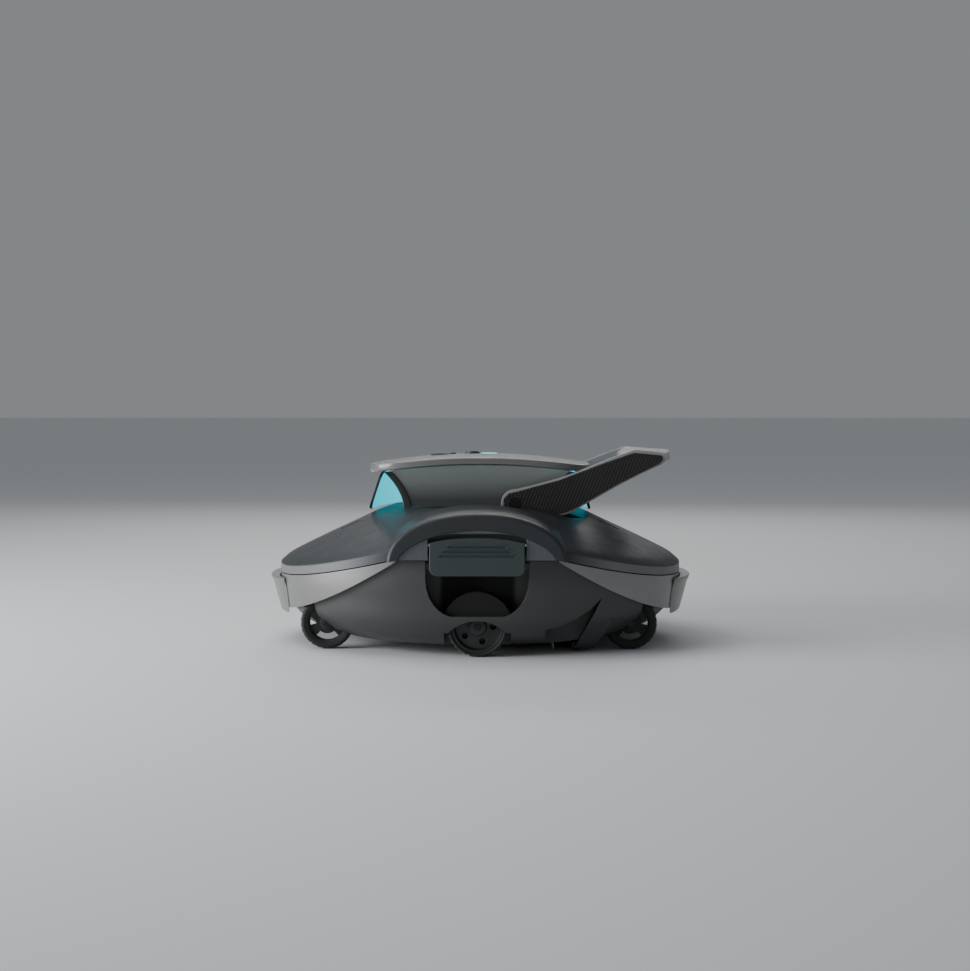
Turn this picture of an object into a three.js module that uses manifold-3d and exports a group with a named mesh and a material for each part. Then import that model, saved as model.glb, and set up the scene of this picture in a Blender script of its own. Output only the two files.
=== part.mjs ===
// A cordless robotic pool cleaner: a low oval machine on six wheels, with a cabin that holds two water
// jets, a carrying handle and a base that unlatches from the upper housing.
// Millimetres, +Z up, -X the way it drives, origin on the floor under the middle of the machine.
import * as THREE from "three";
import { mergeVertices } from "three/addons/utils/BufferGeometryUtils.js";
import Module from "manifold-3d";

const wasm = await Module();
wasm.setup();

// ---- Driving dimensions ----
const WALL = 3; // moulded shell wall
const GAP = 0.4; // clearance between fixed pieces
const RUN = 0.15; // radial clearance of a pin in its hole

const BODY = { halfLength: 197, halfWidth: 184, power: 2.4 };
const BEYOND_Y = BODY.halfWidth + 16; // cutting tools reach this far, past every wall
// How far the body's outline reaches along X at a distance y from the middle plane.
function outlineX(y) {
  const { halfLength, halfWidth, power } = BODY;
  return halfLength * (1 - (Math.abs(y) / halfWidth) ** power) ** (1 / power);
}
const SEAM = { endZ: 68, sideZ: 90, archX: 74, gap: 1 }; // where the upper housing meets the base
const HULL_BOTTOM_Z = 8;
const SKIRT = { inX: 7, inY: 5 }; // how far the hull's widest section stands inside the body's outline
const DECK = { z: 131, halfLength: 86, halfWidth: 88 }; // plateau under the cabin

const ARCH = { halfWidth: 82, topZ: 132, faceY: BODY.halfWidth + 3, innerY: 84, power: 2.2, baseZ: 86 };
const WINDOW = { halfWidth: 72, topZ: 118, power: 1.75 }; // opening in the arch face
const LATCH = {
  halfWidth: 43,
  bottomZ: 76,
  pivotZ: 104,
  thick: 4,
  pinR: 1.6,
  side: 1.5, // gap beside the lever
  proud: 0.6, // how far its face stands out of the arch
  depth: 6, // how far its pin lies behind the arch's face
};
const POCKET = { halfWidth: 47, bottomZ: 38, depthY: BODY.halfWidth - 34 };

const SIDE_WHEEL = { r: 27.5, width: 16, y: BODY.halfWidth - 26, tyre: 4, play: 2 };
const END_WHEEL = { r: 25, width: 12, y: BODY.halfWidth - 79, rim: 8, play: 4 };
// The tyre comes within 2 mm of the outline; its axle sits on a whole millimetre.
END_WHEEL.x = Math.round(outlineX(END_WHEEL.y + END_WHEEL.width / 2) - END_WHEEL.r - 2);
const WHEEL_HOUSE = { room: 3, wall: 2 }; // clearance over each tyre, and the wall that shows in the pocket
const AXLE_R = 3;

const ROOF = { halfLength: 109, halfWidth: 63, topZ: 182, crownX: 10, crownY: 3, thick: 6, power: 4 };
const CABIN = { wallY: 57, thick: 4, waist: 5, topX: 92, footX: 67 };
const NOZZLE = {
  mouthX: 106,
  lean: 6,
  throatX: 52,
  bottomZ: 128,
  topZ: 164,
  halfWidth: 49,
  wall: 2.5,
  rim: 2.5,
};

const HANDLE = { pivotX: 34, pivotZ: 136, rootR: 13, armY: 72, armThick: 11, pinR: 4, gripX: 188 };
const BUMPER = { halfWidth: 79, proud: 11, topZ: 69, bottomZ: 27, thick: 5, lean: 9 };

const MOTOR = { r: 19, length: 46, bottomZ: 84 };
const DUCT = { r: 27, wall: 2.5, bottomZ: 69 };
const PLATE = { z: 64, thick: 3 }; // floor of the upper housing
const MOUTH = { innerX: 30, outerX: 58, halfWidth: 70 }; // suction slots in the hull

// ---- Solids ----
const { PI, cos, sin, sign, abs, max, min, hypot } = Math;
const AROUND = 36;

// A three.js geometry as a solid; one that came out inside out is turned.
function solid(geometry) {
  const bare = geometry.clone();
  bare.deleteAttribute("normal");
  bare.deleteAttribute("uv");
  const g = mergeVertices(bare, 1e-4);
  const vertProperties = new Float32Array(g.attributes.position.array);
  const triVerts = new Uint32Array(g.index.array);
  const made = new wasm.Manifold(new wasm.Mesh({ numProp: 3, vertProperties, triVerts }));
  if (made.volume() > 0) return made;
  for (let i = 0; i < triVerts.length; i += 3) triVerts.subarray(i, i + 3).reverse();
  return new wasm.Manifold(new wasm.Mesh({ numProp: 3, vertProperties, triVerts }));
}

function geometryOf(manifold) {
  const m = manifold.getMesh();
  const position = new Float32Array(m.numVert * 3);
  for (let i = 0; i < m.numVert; i++) {
    for (let k = 0; k < 3; k++) position[3 * i + k] = m.vertProperties[m.numProp * i + k];
  }
  const g = new THREE.BufferGeometry();
  g.setAttribute("position", new THREE.BufferAttribute(position, 3));
  g.setIndex(new THREE.BufferAttribute(new Uint32Array(m.triVerts), 1));
  g.computeVertexNormals();
  return g;
}

// A closed solid through rings of points [[x, y, z], ...] with the same count, capped at both ends.
function loft(rings) {
  const n = rings[0].length;
  const position = rings.flat(2);
  const index = [];
  for (let r = 0; r < rings.length - 1; r++) {
    for (let i = 0; i < n; i++) {
      const a = r * n + i;
      const b = r * n + ((i + 1) % n);
      index.push(a, b, b + n, a, b + n, a + n);
    }
  }
  const caps = [[0, 1], [rings.length - 1, -1]];
  for (const [r, way] of caps) {
    const middle = position.length / 3;
    for (let k = 0; k < 3; k++) position.push(rings[r].reduce((s, p) => s + p[k], 0) / n);
    for (let i = 0; i < n; i++) {
      const a = r * n + i;
      const b = r * n + ((i + 1) % n);
      index.push(...(way > 0 ? [middle, b, a] : [middle, a, b]));
    }
  }
  const g = new THREE.BufferGeometry();
  g.setAttribute("position", new THREE.BufferAttribute(new Float32Array(position), 3));
  g.setIndex(index);
  return solid(g);
}

function box(x0, x1, y0, y1, z0, z1) {
  const g = new THREE.BoxGeometry(x1 - x0, y1 - y0, z1 - z0);
  return solid(g.translate((x0 + x1) / 2, (y0 + y1) / 2, (z0 + z1) / 2));
}

const rodZ = (r, z0, z1, x = 0, y = 0, n = 32) =>
  solid(new THREE.CylinderGeometry(r, r, z1 - z0, n).rotateX(PI / 2).translate(x, y, (z0 + z1) / 2));
const rodY = (r, y0, y1, x = 0, z = 0, n = 32) =>
  solid(new THREE.CylinderGeometry(r, r, y1 - y0, n).translate(x, (y0 + y1) / 2, z));
const rodX = (r, x0, x1, y = 0, z = 0, n = 20) =>
  solid(new THREE.CylinderGeometry(r, r, x1 - x0, n).rotateZ(PI / 2).translate((x0 + x1) / 2, y, z));

const join = (...parts) => parts.reduce((a, b) => a.add(b));
const cut = (body, ...tools) => tools.reduce((a, b) => a.subtract(b), body);
const mirrorY = (m) => m.mirror([0, 1, 0]);
const mirrorX = (m) => m.mirror([1, 0, 0]);

// A solid with the outline [[x, z], ...] in the XZ plane, from y0 to y1.
function plateXZ(outline, y0, y1) {
  const shape = new THREE.Shape(outline.map(([x, z]) => new THREE.Vector2(x, z)));
  const g = new THREE.ExtrudeGeometry(shape, { depth: y1 - y0, bevelEnabled: false });
  return solid(g.rotateX(PI / 2).translate(0, y1, 0));
}

// Points of |x/a|^p + |y/b|^p = 1 at angle steps, as [x, y].
function oval(a, b, p, n = AROUND) {
  const turn = (i) => (2 * PI * (i + 0.5)) / n;
  const part = (c) => sign(c) * abs(c) ** (2 / p);
  return Array.from({ length: n }, (_, i) => [a * part(cos(turn(i))), b * part(sin(turn(i)))]);
}

// A solid of oval sections [[z, a, b], ...].
const ovals = (sections, p = BODY.power, n = AROUND) =>
  loft(sections.map(([z, a, b]) => oval(a, b, p, n).map(([x, y]) => [x, y, z])));

// Half an arch in the XZ plane: |x/w|^p + |(z - base)/h|^p = 1 above its base, closed along the base.
function archOutline(w, base, top, p, n = 20) {
  const points = Array.from({ length: n + 1 }, (_, i) => {
    const t = (PI * i) / n;
    return [w * sign(cos(t)) * abs(cos(t)) ** (2 / p), base + (top - base) * max(0, sin(t)) ** (2 / p)];
  });
  return points;
}

// ---- The seam between the upper housing and the base, a curve in the XZ plane ----
function seamZ(x) {
  const s = min(1, max(0, (abs(x) - SEAM.archX) / (BODY.halfLength - SKIRT.inX - SEAM.archX)));
  return SEAM.endZ + (SEAM.sideZ - SEAM.endZ) * (1 - s) ** 1.3;
}

// Distances from the middle at which the seam is drawn, from the arch outwards and past the end.
const SEAM_STEPS = 8;
const seamFar = BODY.halfLength - SKIRT.inX;
const seamHalf = [];
for (let i = 0; i <= SEAM_STEPS; i++) seamHalf.push(SEAM.archX + ((seamFar - SEAM.archX) * i) / SEAM_STEPS);
seamHalf.push(BODY.halfLength + 23);
const seamXs = [...seamHalf.map((x) => -x).reverse(), ...seamHalf];
const SEAM_Y = BODY.halfWidth + 56;

function seamSlab(low, high) {
  const upper = seamXs.map((x) => [x, high === null ? 400 : seamZ(x) + high]);
  const lower = seamXs.map((x) => [x, low === null ? -50 : seamZ(x) + low]).reverse();
  return plateXZ([...upper, ...lower], -SEAM_Y, SEAM_Y);
}

// ---- Base hull ----
// [z, distance inside the body's half length, distance inside its half width]
const HULL_SECTIONS = [
  [HULL_BOTTOM_Z, 93, 46],
  [HULL_BOTTOM_Z + 3, 69, 31],
  [HULL_BOTTOM_Z + 9, 51, 21],
  [HULL_BOTTOM_Z + 18, 32, 15],
  [36, 17, 11],
  [52, SKIRT.inX + 3, SKIRT.inY + 2],
  [SEAM.endZ, SKIRT.inX, SKIRT.inY],
  [SEAM.sideZ + 4, SKIRT.inX, SKIRT.inY - 1],
].map(([z, inX, inY]) => [z, BODY.halfLength - inX, BODY.halfWidth - inY]);
const inset = (sections, t, lift = 0) => sections.map(([z, a, b]) => [z + lift, a - t, b - t]);
// An inner face takes only some of the outer sections: the shape is convex, so the wall only gets thicker.
const pick = (sections, ...rows) => rows.map((i) => sections[i]);

function pocketOutline(grow) {
  const w = POCKET.halfWidth + grow;
  const low = POCKET.bottomZ - grow;
  return [
    [-w, SEAM.sideZ + 10], [-w, 72], [-w + 3, 58], [-w + 9, 48], [-w + 16, 41], [-w + 23, low],
    [w - 23, low], [w - 16, 41], [w - 9, 48], [w - 3, 58], [w, 72], [w, SEAM.sideZ + 10],
  ];
}

const NOTCH = [[62, -5], [62, 25], [75, 28], [89, 34], [102, 42], [114, 53], [88, 2], [88, -5]];
const NOTCH_Y = BODY.halfWidth - 52;

// Rooms for the wheels, open below; grow makes the same room with a wall round it.
function wheelRooms(grow) {
  const facets = grow ? 16 : 24;
  const side = SIDE_WHEEL;
  const end = END_WHEEL;
  const y0 = side.y - side.width / 2 - side.play - grow;
  const y1 = side.y + side.width / 2 + side.play - 0.5 + grow;
  const half = side.r + WHEEL_HOUSE.room + grow;
  const sideRoom = join(rodY(half, y0, y1, 0, side.r, facets), box(-half, half, y0, y1, -5, side.r));
  const endHalf = end.r + WHEEL_HOUSE.room + grow;
  const endY0 = end.y - end.width / 2 - end.play - grow;
  const endY1 = end.y + end.width / 2 + end.play + grow;
  const endRoom = join(
    rodY(endHalf, endY0, endY1, end.x, end.r, facets),
    box(end.x - endHalf, end.x + endHalf, endY0, endY1, -5, end.r),
  );
  const all = join(sideRoom, endRoom, mirrorX(endRoom));
  return join(all, mirrorY(all));
}

function bothSides(tool) {
  return join(tool, mirrorY(tool));
}

function lowerHull() {
  const outer = ovals(HULL_SECTIONS);
  // The finger pocket keeps the house over the side wheel, which bulges into it.
  const pocketRoom = bothSides(plateXZ(pocketOutline(0), -BEYOND_Y, -POCKET.depthY));
  const pocket = cut(pocketRoom, wheelRooms(WHEEL_HOUSE.wall));
  const notch = bothSides(plateXZ(NOTCH, -BEYOND_Y, -NOTCH_Y));
  const skinArc = bothSides(rodY(SIDE_WHEEL.r + 9, -BEYOND_Y, -(SIDE_WHEEL.y + 4), 0, SIDE_WHEEL.r - 30));
  const notchWall = NOTCH.map(([x, z]) => [x < 70 ? x - WALL : x + WALL, z + WALL]);
  const keep = join(
    bothSides(plateXZ(pocketOutline(WALL), -BEYOND_Y, -POCKET.depthY + WALL)),
    bothSides(plateXZ(notchWall, -BEYOND_Y, -NOTCH_Y + WALL)),
    wheelRooms(WALL),
  );
  const inner = cut(ovals(pick(inset(HULL_SECTIONS, WALL, WALL), 0, 2, 4, 7)), keep);
  let hull = cut(outer, inner, pocket, notch, wheelRooms(0), skinArc);
  // A bar across the pocket that the latch's hook catches under.
  const barY = behindFace(12.5);
  const bar = bothSides(box(-POCKET.halfWidth - 1, POCKET.halfWidth + 1, barY, barY + 6.5, 81, 87));
  hull = join(hull, bar);
  for (const s of [-1, 1]) {
    const slot = box(MOUTH.innerX, MOUTH.outerX, -MOUTH.halfWidth, MOUTH.halfWidth, 0, 20);
    hull = cut(hull, s > 0 ? slot : mirrorX(slot));
    // Ears that carry the inlet flap's pin.
    for (const y of [-1, 1]) {
      const at = y * FLAP.earY;
      const earFoot = HULL_BOTTOM_Z + WALL - 0.5;
      const ear = box(FLAP.pinX - 3, FLAP.pinX + 3, at - 2, at + 2, earFoot, FLAP.pinZ + 4);
      hull = join(hull, s > 0 ? ear : mirrorX(ear));
      hull = cut(hull, rodY(FLAP.pinR + RUN, at - 4, at + 4, s * FLAP.pinX, FLAP.pinZ, 12));
    }
  }
  // Bores for the axles through the walls of each wheel's room.
  for (const [x, y, w, r, play] of wheelPlaces()) {
    const way = sign(y);
    const inside = y - way * (w / 2 + play + WALL + 2);
    const outside = y + way * (w / 2 + (x === 0 ? 0 : play + WALL + 2));
    hull = cut(hull, rodY(AXLE_R + RUN, min(inside, outside), max(inside, outside), x, r, 14));
  }
  // Posts that hold the filter up off the floor of the hull.
  for (const [x, y] of corners(FILTER.x - 26, FILTER.y - 18)) {
    hull = join(hull, rodZ(5, HULL_BOTTOM_Z + 1, FILTER.z - 1.4 - GAP, x, y, 12));
  }
  return cut(hull, seamSlab(-SEAM.gap / 2 - 0.5, null));
}

const corners = (x, y) => [[-x, -y], [-x, y], [x, -y], [x, y]];

// [x, y, width, radius, play at each side] of each wheel.
function wheelPlaces() {
  const e = END_WHEEL;
  const s = SIDE_WHEEL;
  return [
    [0, -s.y, s.width, s.r, s.play],
    [0, s.y, s.width, s.r, s.play],
    ...corners(e.x, e.y).map(([x, y]) => [x, y, e.width, e.r, e.play]),
  ];
}

const FLAP = {
  pinX: 24,
  pinZ: 14.5,
  pinR: 1.5,
  thick: 2,
  halfWidth: MOUTH.halfWidth + 2,
  earY: MOUTH.halfWidth + 5,
};

// ---- Bands and bumpers round the base ----
function bandLowZ(x) {
  const s = min(1, max(0, (abs(x) - SEAM.archX) / (BODY.halfLength - SKIRT.inX - SEAM.archX)));
  return 34 + (SEAM.sideZ - 2 - 34) * (1 - s) ** 1.35;
}

function band(way) {
  const a = BODY.halfLength;
  const b = BODY.halfWidth;
  const hullA = a - SKIRT.inX + GAP;
  const hullB = b - SKIRT.inY + GAP;
  const outside = [[20, a - 7, b - 6], [SEAM.endZ, a, b - 0.5], [100, a + 0.5, b]];
  const lowInside = [[15, hullA - 3.2, hullB - 1.5], [52, hullA - 3, hullB - 2]];
  const highInside = [[SEAM.endZ, hullA, hullB], [101, hullA, hullB + 1]];
  const ring = cut(ovals(outside), ovals([...lowInside, ...highInside]), ovals(inset(HULL_SECTIONS, -GAP)));
  const upper = seamHalf.map((x) => [x, seamZ(x) - SEAM.gap / 2]);
  const lower = seamHalf.map((x) => [x, min(bandLowZ(x), seamZ(x) - 1.5)]).reverse();
  const profile = plateXZ([...upper, ...lower], -SEAM_Y, SEAM_Y);
  const half = cut(ring.intersect(profile), wheelRooms(0));
  return way > 0 ? half : mirrorX(half);
}

// A curved plate that stands proud of the band's end; its plan bows out by BUMPER.proud at the middle.
function bumper(way) {
  const { halfWidth: w, proud, topZ, bottomZ, thick, lean } = BUMPER;
  const rings = [];
  const steps = 14;
  for (let i = 0; i <= steps; i++) {
    const y = -w + (2 * w * i) / steps;
    const skin = outlineX(y);
    const out = 2.5 + (proud - 2.5) * cos((PI / 2) * (y / w)) ** 0.6;
    const x = (z, d) => skin + d - lean * ((topZ - z) / (topZ - bottomZ));
    const back = 1.2;
    rings.push([
      [x(bottomZ, back), y, bottomZ],
      [x(bottomZ, max(out - 2, back + 1)), y, bottomZ + 1],
      [x(topZ - 6, out - 1), y, topZ - 6],
      [x(topZ - 4, out), y, topZ - 4],
      [x(topZ, out), y, topZ],
      [x(topZ, back), y, topZ],
    ]);
  }
  const plate = loft(rings);
  const a = BODY.halfLength;
  const b = BODY.halfWidth;
  const low = [[10, a - 8.7, b - 8], [20, a - 6.4, b - 5.4]];
  const room = ovals([...low, [SEAM.endZ, a + 0.6, b + 0.2], [110, a + 1, b + 0.5]]);
  const made = cut(plate, room, wheelRooms(0));
  return way > 0 ? made : mirrorX(made);
}

// ---- Upper housing ----
// [z, share of the way from the deck's end out to the body's end, the same across]
const DOME_SECTIONS = [
  [60, 1, 1],
  [78, 1, 1],
  [84.5, 0.932, 0.938],
  [100, 0.64, 0.667],
  [115, 0.351, 0.375],
  [126, 0.135, 0.135],
  [DECK.z, 0, 0],
].map(([z, x, y]) => [
  z,
  DECK.halfLength + (BODY.halfLength - DECK.halfLength) * x,
  DECK.halfWidth + (BODY.halfWidth - DECK.halfWidth) * y,
]);

// The raised arch over each latch, from the deck out to its flat face.
function vault(shrink) {
  const { halfWidth, topZ, faceY, innerY, power, baseZ } = ARCH;
  // [y, rise of the crown, flare of the flanks]
  const body = [[innerY, 3, 4], [innerY + 36, 3, 4], [faceY - 29, 1.5, 1], [faceY - 6, 0, 0]];
  const face = shrink ? [[faceY - shrink, -1, -1]] : [[faceY - 2, -0.8, -0.8], [faceY, -3.5, -3.5]];
  return loft([...body, ...face].map(([y, rise, flare]) => {
    const w = halfWidth - shrink + flare;
    const outline = archOutline(w, baseZ, topZ - shrink + rise, power, shrink ? 10 : 16);
    return [...outline, [-w, 60], [w, 60]].map(([x, z]) => [x, -y, z]);
  }));
}

// The y of a plane this far behind the arch's flat face, on the left side.
function behindFace(depth) {
  return -(ARCH.faceY - depth);
}

function windowOutline(grow) {
  return archOutline(WINDOW.halfWidth + grow, SEAM.sideZ - 1, WINDOW.topZ + grow, WINDOW.power, 14);
}

// The troughs in the deck that each arm of the handle swings in.
const GUTTER = {
  x0: HANDLE.pivotX - HANDLE.rootR - 4,
  x1: 118,
  y0: HANDLE.armY - HANDLE.armThick / 2 - 2,
  y1: HANDLE.armY + HANDLE.armThick / 2 + 2.5,
  z: HANDLE.pivotZ - HANDLE.rootR - 2,
};
const DRAIN = { x: BODY.halfLength - 71, y: 38, halfLength: 8, halfWidth: 2.6 }; // slots in the end slopes

// Solids made once for each corner of the machine.
const fourSides = (tool) => join(bothSides(tool), mirrorX(bothSides(tool)));

function drainSlots() {
  const { x, y, halfLength, halfWidth } = DRAIN;
  return fourSides(box(x - halfLength, x + halfLength, y - halfWidth, y + halfWidth, 80, 140));
}

function topShell() {
  const dome = ovals(DOME_SECTIONS);
  const outer = join(dome, vault(0), mirrorY(vault(0)));
  const lowered = inset(DOME_SECTIONS, WALL).map(([z, a, b]) => [z > 80 ? z - WALL : z, a, b]);
  const domeRoom = ovals(pick(lowered, 0, 1, 3, 5, 6));
  const trough = (grow) => {
    const { x0, x1, y0, y1, z } = GUTTER;
    return bothSides(box(x0 - grow, x1 + grow, y0 - grow, y1 + grow, z - grow, 200));
  };
  const inner = cut(join(domeRoom, vault(WALL), mirrorY(vault(WALL))), trough(WALL));
  const gutter = trough(0);
  let shell = cut(outer, inner, gutter);
  const windowEdge = [...windowOutline(0), [-WINDOW.halfWidth, 50], [WINDOW.halfWidth, 50]];
  shell = cut(shell, bothSides(plateXZ(windowEdge, -BEYOND_Y, behindFace(9))), drainSlots());
  // Bosses that carry the inner floor.
  for (const [x, y] of corners(BODY.halfLength - 79, 66)) {
    shell = join(shell, rodZ(5, PLATE.z + PLATE.thick + GAP, 125, x, y, 12).intersect(dome));
  }
  // The pump's duct comes up through the deck.
  shell = cut(shell, rodZ(DUCT.r + GAP, 100, 140));
  return cut(shell, seamSlab(null, SEAM.gap / 2));
}

// ---- Latches ----
const LATCH_PIVOT_Y = behindFace(LATCH.depth);

function latchSurround() {
  const { side, halfWidth, pinR, pivotZ } = LATCH;
  const open = halfWidth + side;
  const foot = SEAM.sideZ + 0.2;
  const sill = (w) => [[-w, foot], [w, foot]];
  const behind = [...windowOutline(2.6).filter(([, z]) => z >= foot), ...sill(WINDOW.halfWidth + 2.2)];
  const inWindow = [...windowOutline(-0.5).filter(([, z]) => z >= foot), ...sill(WINDOW.halfWidth - 0.8)];
  const flange = plateXZ(behind, behindFace(WALL + GAP), behindFace(WALL + GAP + 3));
  // The part that fills the window up to nearly flush.
  const flush = plateXZ(inWindow, behindFace(2.2), behindFace(WALL + 1));
  const room = box(-open, open, -BEYOND_Y, behindFace(17), 60, 112);
  const hollow = box(-open, open, -BEYOND_Y, behindFace(8.5), 60, 130);
  const front = cut(join(flange, flush), room, hollow);
  const back = plateXZ(behind, behindFace(8.1), behindFace(11));
  const way = box(-open, open, -BEYOND_Y, behindFace(17), foot + 4, 130);
  const cheek = box(open, open + 3, behindFace(3), behindFace(11), foot, 112);
  const body = join(front, cut(back, way), cheek, mirrorX(cheek));
  return cut(body, rodX(pinR + RUN, -open - 4, open + 4, LATCH_PIVOT_Y, pivotZ, 12));
}

function latchPlate() {
  const { halfWidth: w, bottomZ, thick, pivotZ, pinR, proud } = LATCH;
  const half = [[w, bottomZ + 7], [w - 2, bottomZ + 2.2], [w - 7, bottomZ]];
  const crown = [[14, pivotZ + 6.6], [w - 14, pivotZ + 5], [w, pivotZ + 2]];
  const right = [...crown, ...half];
  const outline = [...right, ...right.map(([x, z]) => [-x, z]).reverse()];
  const y = behindFace(-proud);
  let body = plateXZ(outline, y, y + thick);
  // Ribs for the fingers, each longer than the one above it.
  for (const i of [0, 1, 2]) {
    const reach = 26 + 4 * i;
    body = join(body, rodX(1.1, -reach, reach, y + 0.3, pivotZ + 0.2 - 4.2 * i, 8));
  }
  const knuckle = rodX(3.4, -w + 0.5, w - 0.5, LATCH_PIVOT_Y, pivotZ, 16);
  const hook = join(
    box(-24, 24, y + 2, behindFace(12), bottomZ + 2, bottomZ + 4.4),
    box(-24, 24, behindFace(9.6), behindFace(12), bottomZ + 3, bottomZ + 8),
  );
  body = join(body, knuckle, hook);
  return cut(body, rodX(pinR + RUN, -w - 2, w + 2, LATCH_PIVOT_Y, pivotZ, 12));
}

function latchPin() {
  const reach = LATCH.halfWidth + LATCH.side + 2.8;
  return rodX(LATCH.pinR, -reach, reach, LATCH_PIVOT_Y, LATCH.pivotZ, 12);
}

// ---- Cabin ----
function roofTopZ(x, y) {
  return ROOF.topZ - ROOF.crownX * (x / ROOF.halfLength) ** 2 - ROOF.crownY * (y / ROOF.halfWidth) ** 2;
}

// A slab over an oval plan, between two height functions.
function slab(a, b, p, top, bottom, n = 32) {
  const fractions = [0.35, 0.7, 0.9, 1];
  const ringAt = (f, height) => oval(a * f, b * f, p, n).map(([x, y]) => [x, y, height(x, y)]);
  const up = fractions.map((f) => ringAt(f, top));
  const down = fractions.map((f) => ringAt(f, bottom)).reverse();
  return loft([...up, ...down]);
}

const PANEL = { buttonX: -8, buttonR: 7.5, lampX: 8.5, lampR: 8, portX: -38, portR: 11.5 };

function roof() {
  const body = slab(
    ROOF.halfLength,
    ROOF.halfWidth,
    ROOF.power,
    (x, y) => roofTopZ(x, y) - (hypot(x / ROOF.halfLength, y / ROOF.halfWidth) > 1.02 ? 1.5 : 0),
    (x, y) => roofTopZ(x, y) - ROOF.thick - 2 * abs(x / ROOF.halfLength) ** 6,
  );
  return cut(
    body,
    rodZ(PANEL.buttonR + 0.5, 160, 200, PANEL.buttonX, 0, 24),
    rodZ(PANEL.lampR + 0.3, ROOF.topZ - 2.5, 200, PANEL.lampX, 0, 24),
    rodZ(PANEL.portR + 0.4, ROOF.topZ - 4.5, 200, PANEL.portX, 0, 24),
  );
}

// A side wall of the cabin: its ends curve in, and its face is waisted between the roof and the deck.
function cabinWall() {
  const { wallY, thick, waist, topX, footX } = CABIN;
  const low = DECK.z + GAP;
  const rings = [];
  const steps = 6;
  for (let i = 0; i <= steps; i++) {
    const t = i / steps;
    const half = footX + (topX - footX) * t ** 2.6;
    const y = wallY + waist * (0.4 - 4 * t * (1 - t) * 0.6);
    const across = [];
    const count = 8;
    const topAt = (x) => roofTopZ(x, y) - ROOF.thick - GAP - 0.6;
    for (let k = 0; k <= count; k++) {
      const x = -half + (2 * half * k) / count;
      across.push([x, -y, low + (topAt(x) - low) * t]);
    }
    const behind = across.map(([x, , z]) => [x, -y + thick, z]).reverse();
    rings.push([...across, ...behind]);
  }
  const wall = loft(rings);
  const boss = rodY(HANDLE.pinR + 4, -(wallY + 4.5), -(wallY - 6), HANDLE.pivotX, HANDLE.pivotZ + 1.5, 20);
  return cut(join(wall, boss.intersect(box(0, 80, -70, -40, low, 160))), handlePinHole());
}

const handlePinHole = () =>
  rodY(HANDLE.pinR + RUN, -(HANDLE.armY + 10), -(CABIN.wallY - 8), HANDLE.pivotX, HANDLE.pivotZ, 20);

// A rounded ring across the machine; lean tilts its plane so the top sits further in than the bottom.
function frameRing([x, lean, halfWidth, z0, z1]) {
  const middle = (z0 + z1) / 2;
  const height = z1 - z0;
  return oval(halfWidth, height / 2, 4, 20).map(([y, z]) => [x - lean * (0.5 + z / height), y, middle + z]);
}

const NOZZLE_THROAT = { halfWidth: 22, bottomZ: 136, topZ: 158 };

function nozzleStations() {
  const { mouthX, lean, throatX, bottomZ, topZ, halfWidth } = NOZZLE;
  const t = NOZZLE_THROAT;
  const part = (a, b, f) => a + (b - a) * f;
  return [[0, 0], [0.35, 0.12], [0.66, 0.42], [1, 1]].map(([along, open]) => [
    part(throatX, mouthX, along),
    lean * along,
    part(t.halfWidth, halfWidth, open),
    part(t.bottomZ, bottomZ, open),
    part(t.topZ, topZ, open ** 0.7),
  ]);
}

function nozzle(way) {
  const { wall } = NOZZLE;
  const stations = nozzleStations();
  const outer = loft(stations.map(frameRing));
  const room = stations.map(([x, lean, w, z0, z1]) => [x, lean, w - wall, z0 + wall, z1 - wall]);
  room[0][0] -= 1;
  room[room.length - 1][0] += 1;
  const made = cut(outer, loft(room.map(frameRing)));
  return way > 0 ? made : mirrorX(made);
}

function nozzleRim(way) {
  const { mouthX, lean, bottomZ, topZ, halfWidth, wall, rim } = NOZZLE;
  const x0 = mouthX + GAP;
  const at = (x, grow) => frameRing([x, lean, halfWidth + grow, bottomZ - grow, topZ + grow]);
  const outer = loft([at(x0, 0.6), at(x0 + rim, 0.6)]);
  const made = cut(outer, loft([at(x0 - 1, -wall), at(x0 + rim + 1, -wall)]));
  return way > 0 ? made : mirrorX(made);
}

const JUNCTION = { halfWidth: 24, topZ: 162, pinZ: 155, pinR: 1.5, portFloor: 139 };

// The box in the middle of the cabin where the water turns to one jet or the other.
function junctionBox() {
  const { halfWidth: w, topZ, pinZ, pinR, portFloor } = JUNCTION;
  const x = NOZZLE.throatX - GAP;
  const outer = box(-x, x, -w - WALL, w + WALL, DECK.z + GAP, topZ);
  const room = box(-x + WALL, x - WALL, -w, w, DECK.z - 1, topZ - WALL);
  const ports = box(-x - 1, x + 1, -w + 5, w - 5, portFloor, pinZ);
  return cut(outer, room, ports, rodY(pinR + RUN, -w - WALL - 1, w + WALL + 1, 0, pinZ, 12));
}

function flowFlap() {
  const { halfWidth, pinZ, pinR, portFloor } = JUNCTION;
  const w = halfWidth - 2;
  const vane = box(-1, 1, -w, w, portFloor + 1, pinZ);
  const knuckle = rodY(2 * pinR, -w, w, 0, pinZ, 16);
  return cut(join(vane, knuckle), rodY(pinR + RUN, -w - 1, w + 1, 0, pinZ, 12));
}

function flowFlapPin() {
  const reach = JUNCTION.halfWidth + WALL - 0.5;
  return rodY(JUNCTION.pinR, -reach, reach, 0, JUNCTION.pinZ, 12);
}

// ---- Handle ----
function handleOutline() {
  const { pivotX: x, pivotZ: z, rootR: r } = HANDLE;
  const arc = Array.from({ length: 7 }, (_, i) => {
    const t = PI / 2 + 0.15 + ((PI - 0.15) * i) / 6;
    return [x + r * cos(t), z + r * sin(t)];
  });
  const underside = [[82, 124.6], [91, 128.8], [134, 153.5], [174, 173]];
  const tip = [[179, 177], [178, 184.2], [148, 187], [144, 185.5]];
  return [...arc, ...underside, ...tip, [115, 174.5], [76, 159.5], [50, 152.5]];
}

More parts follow.
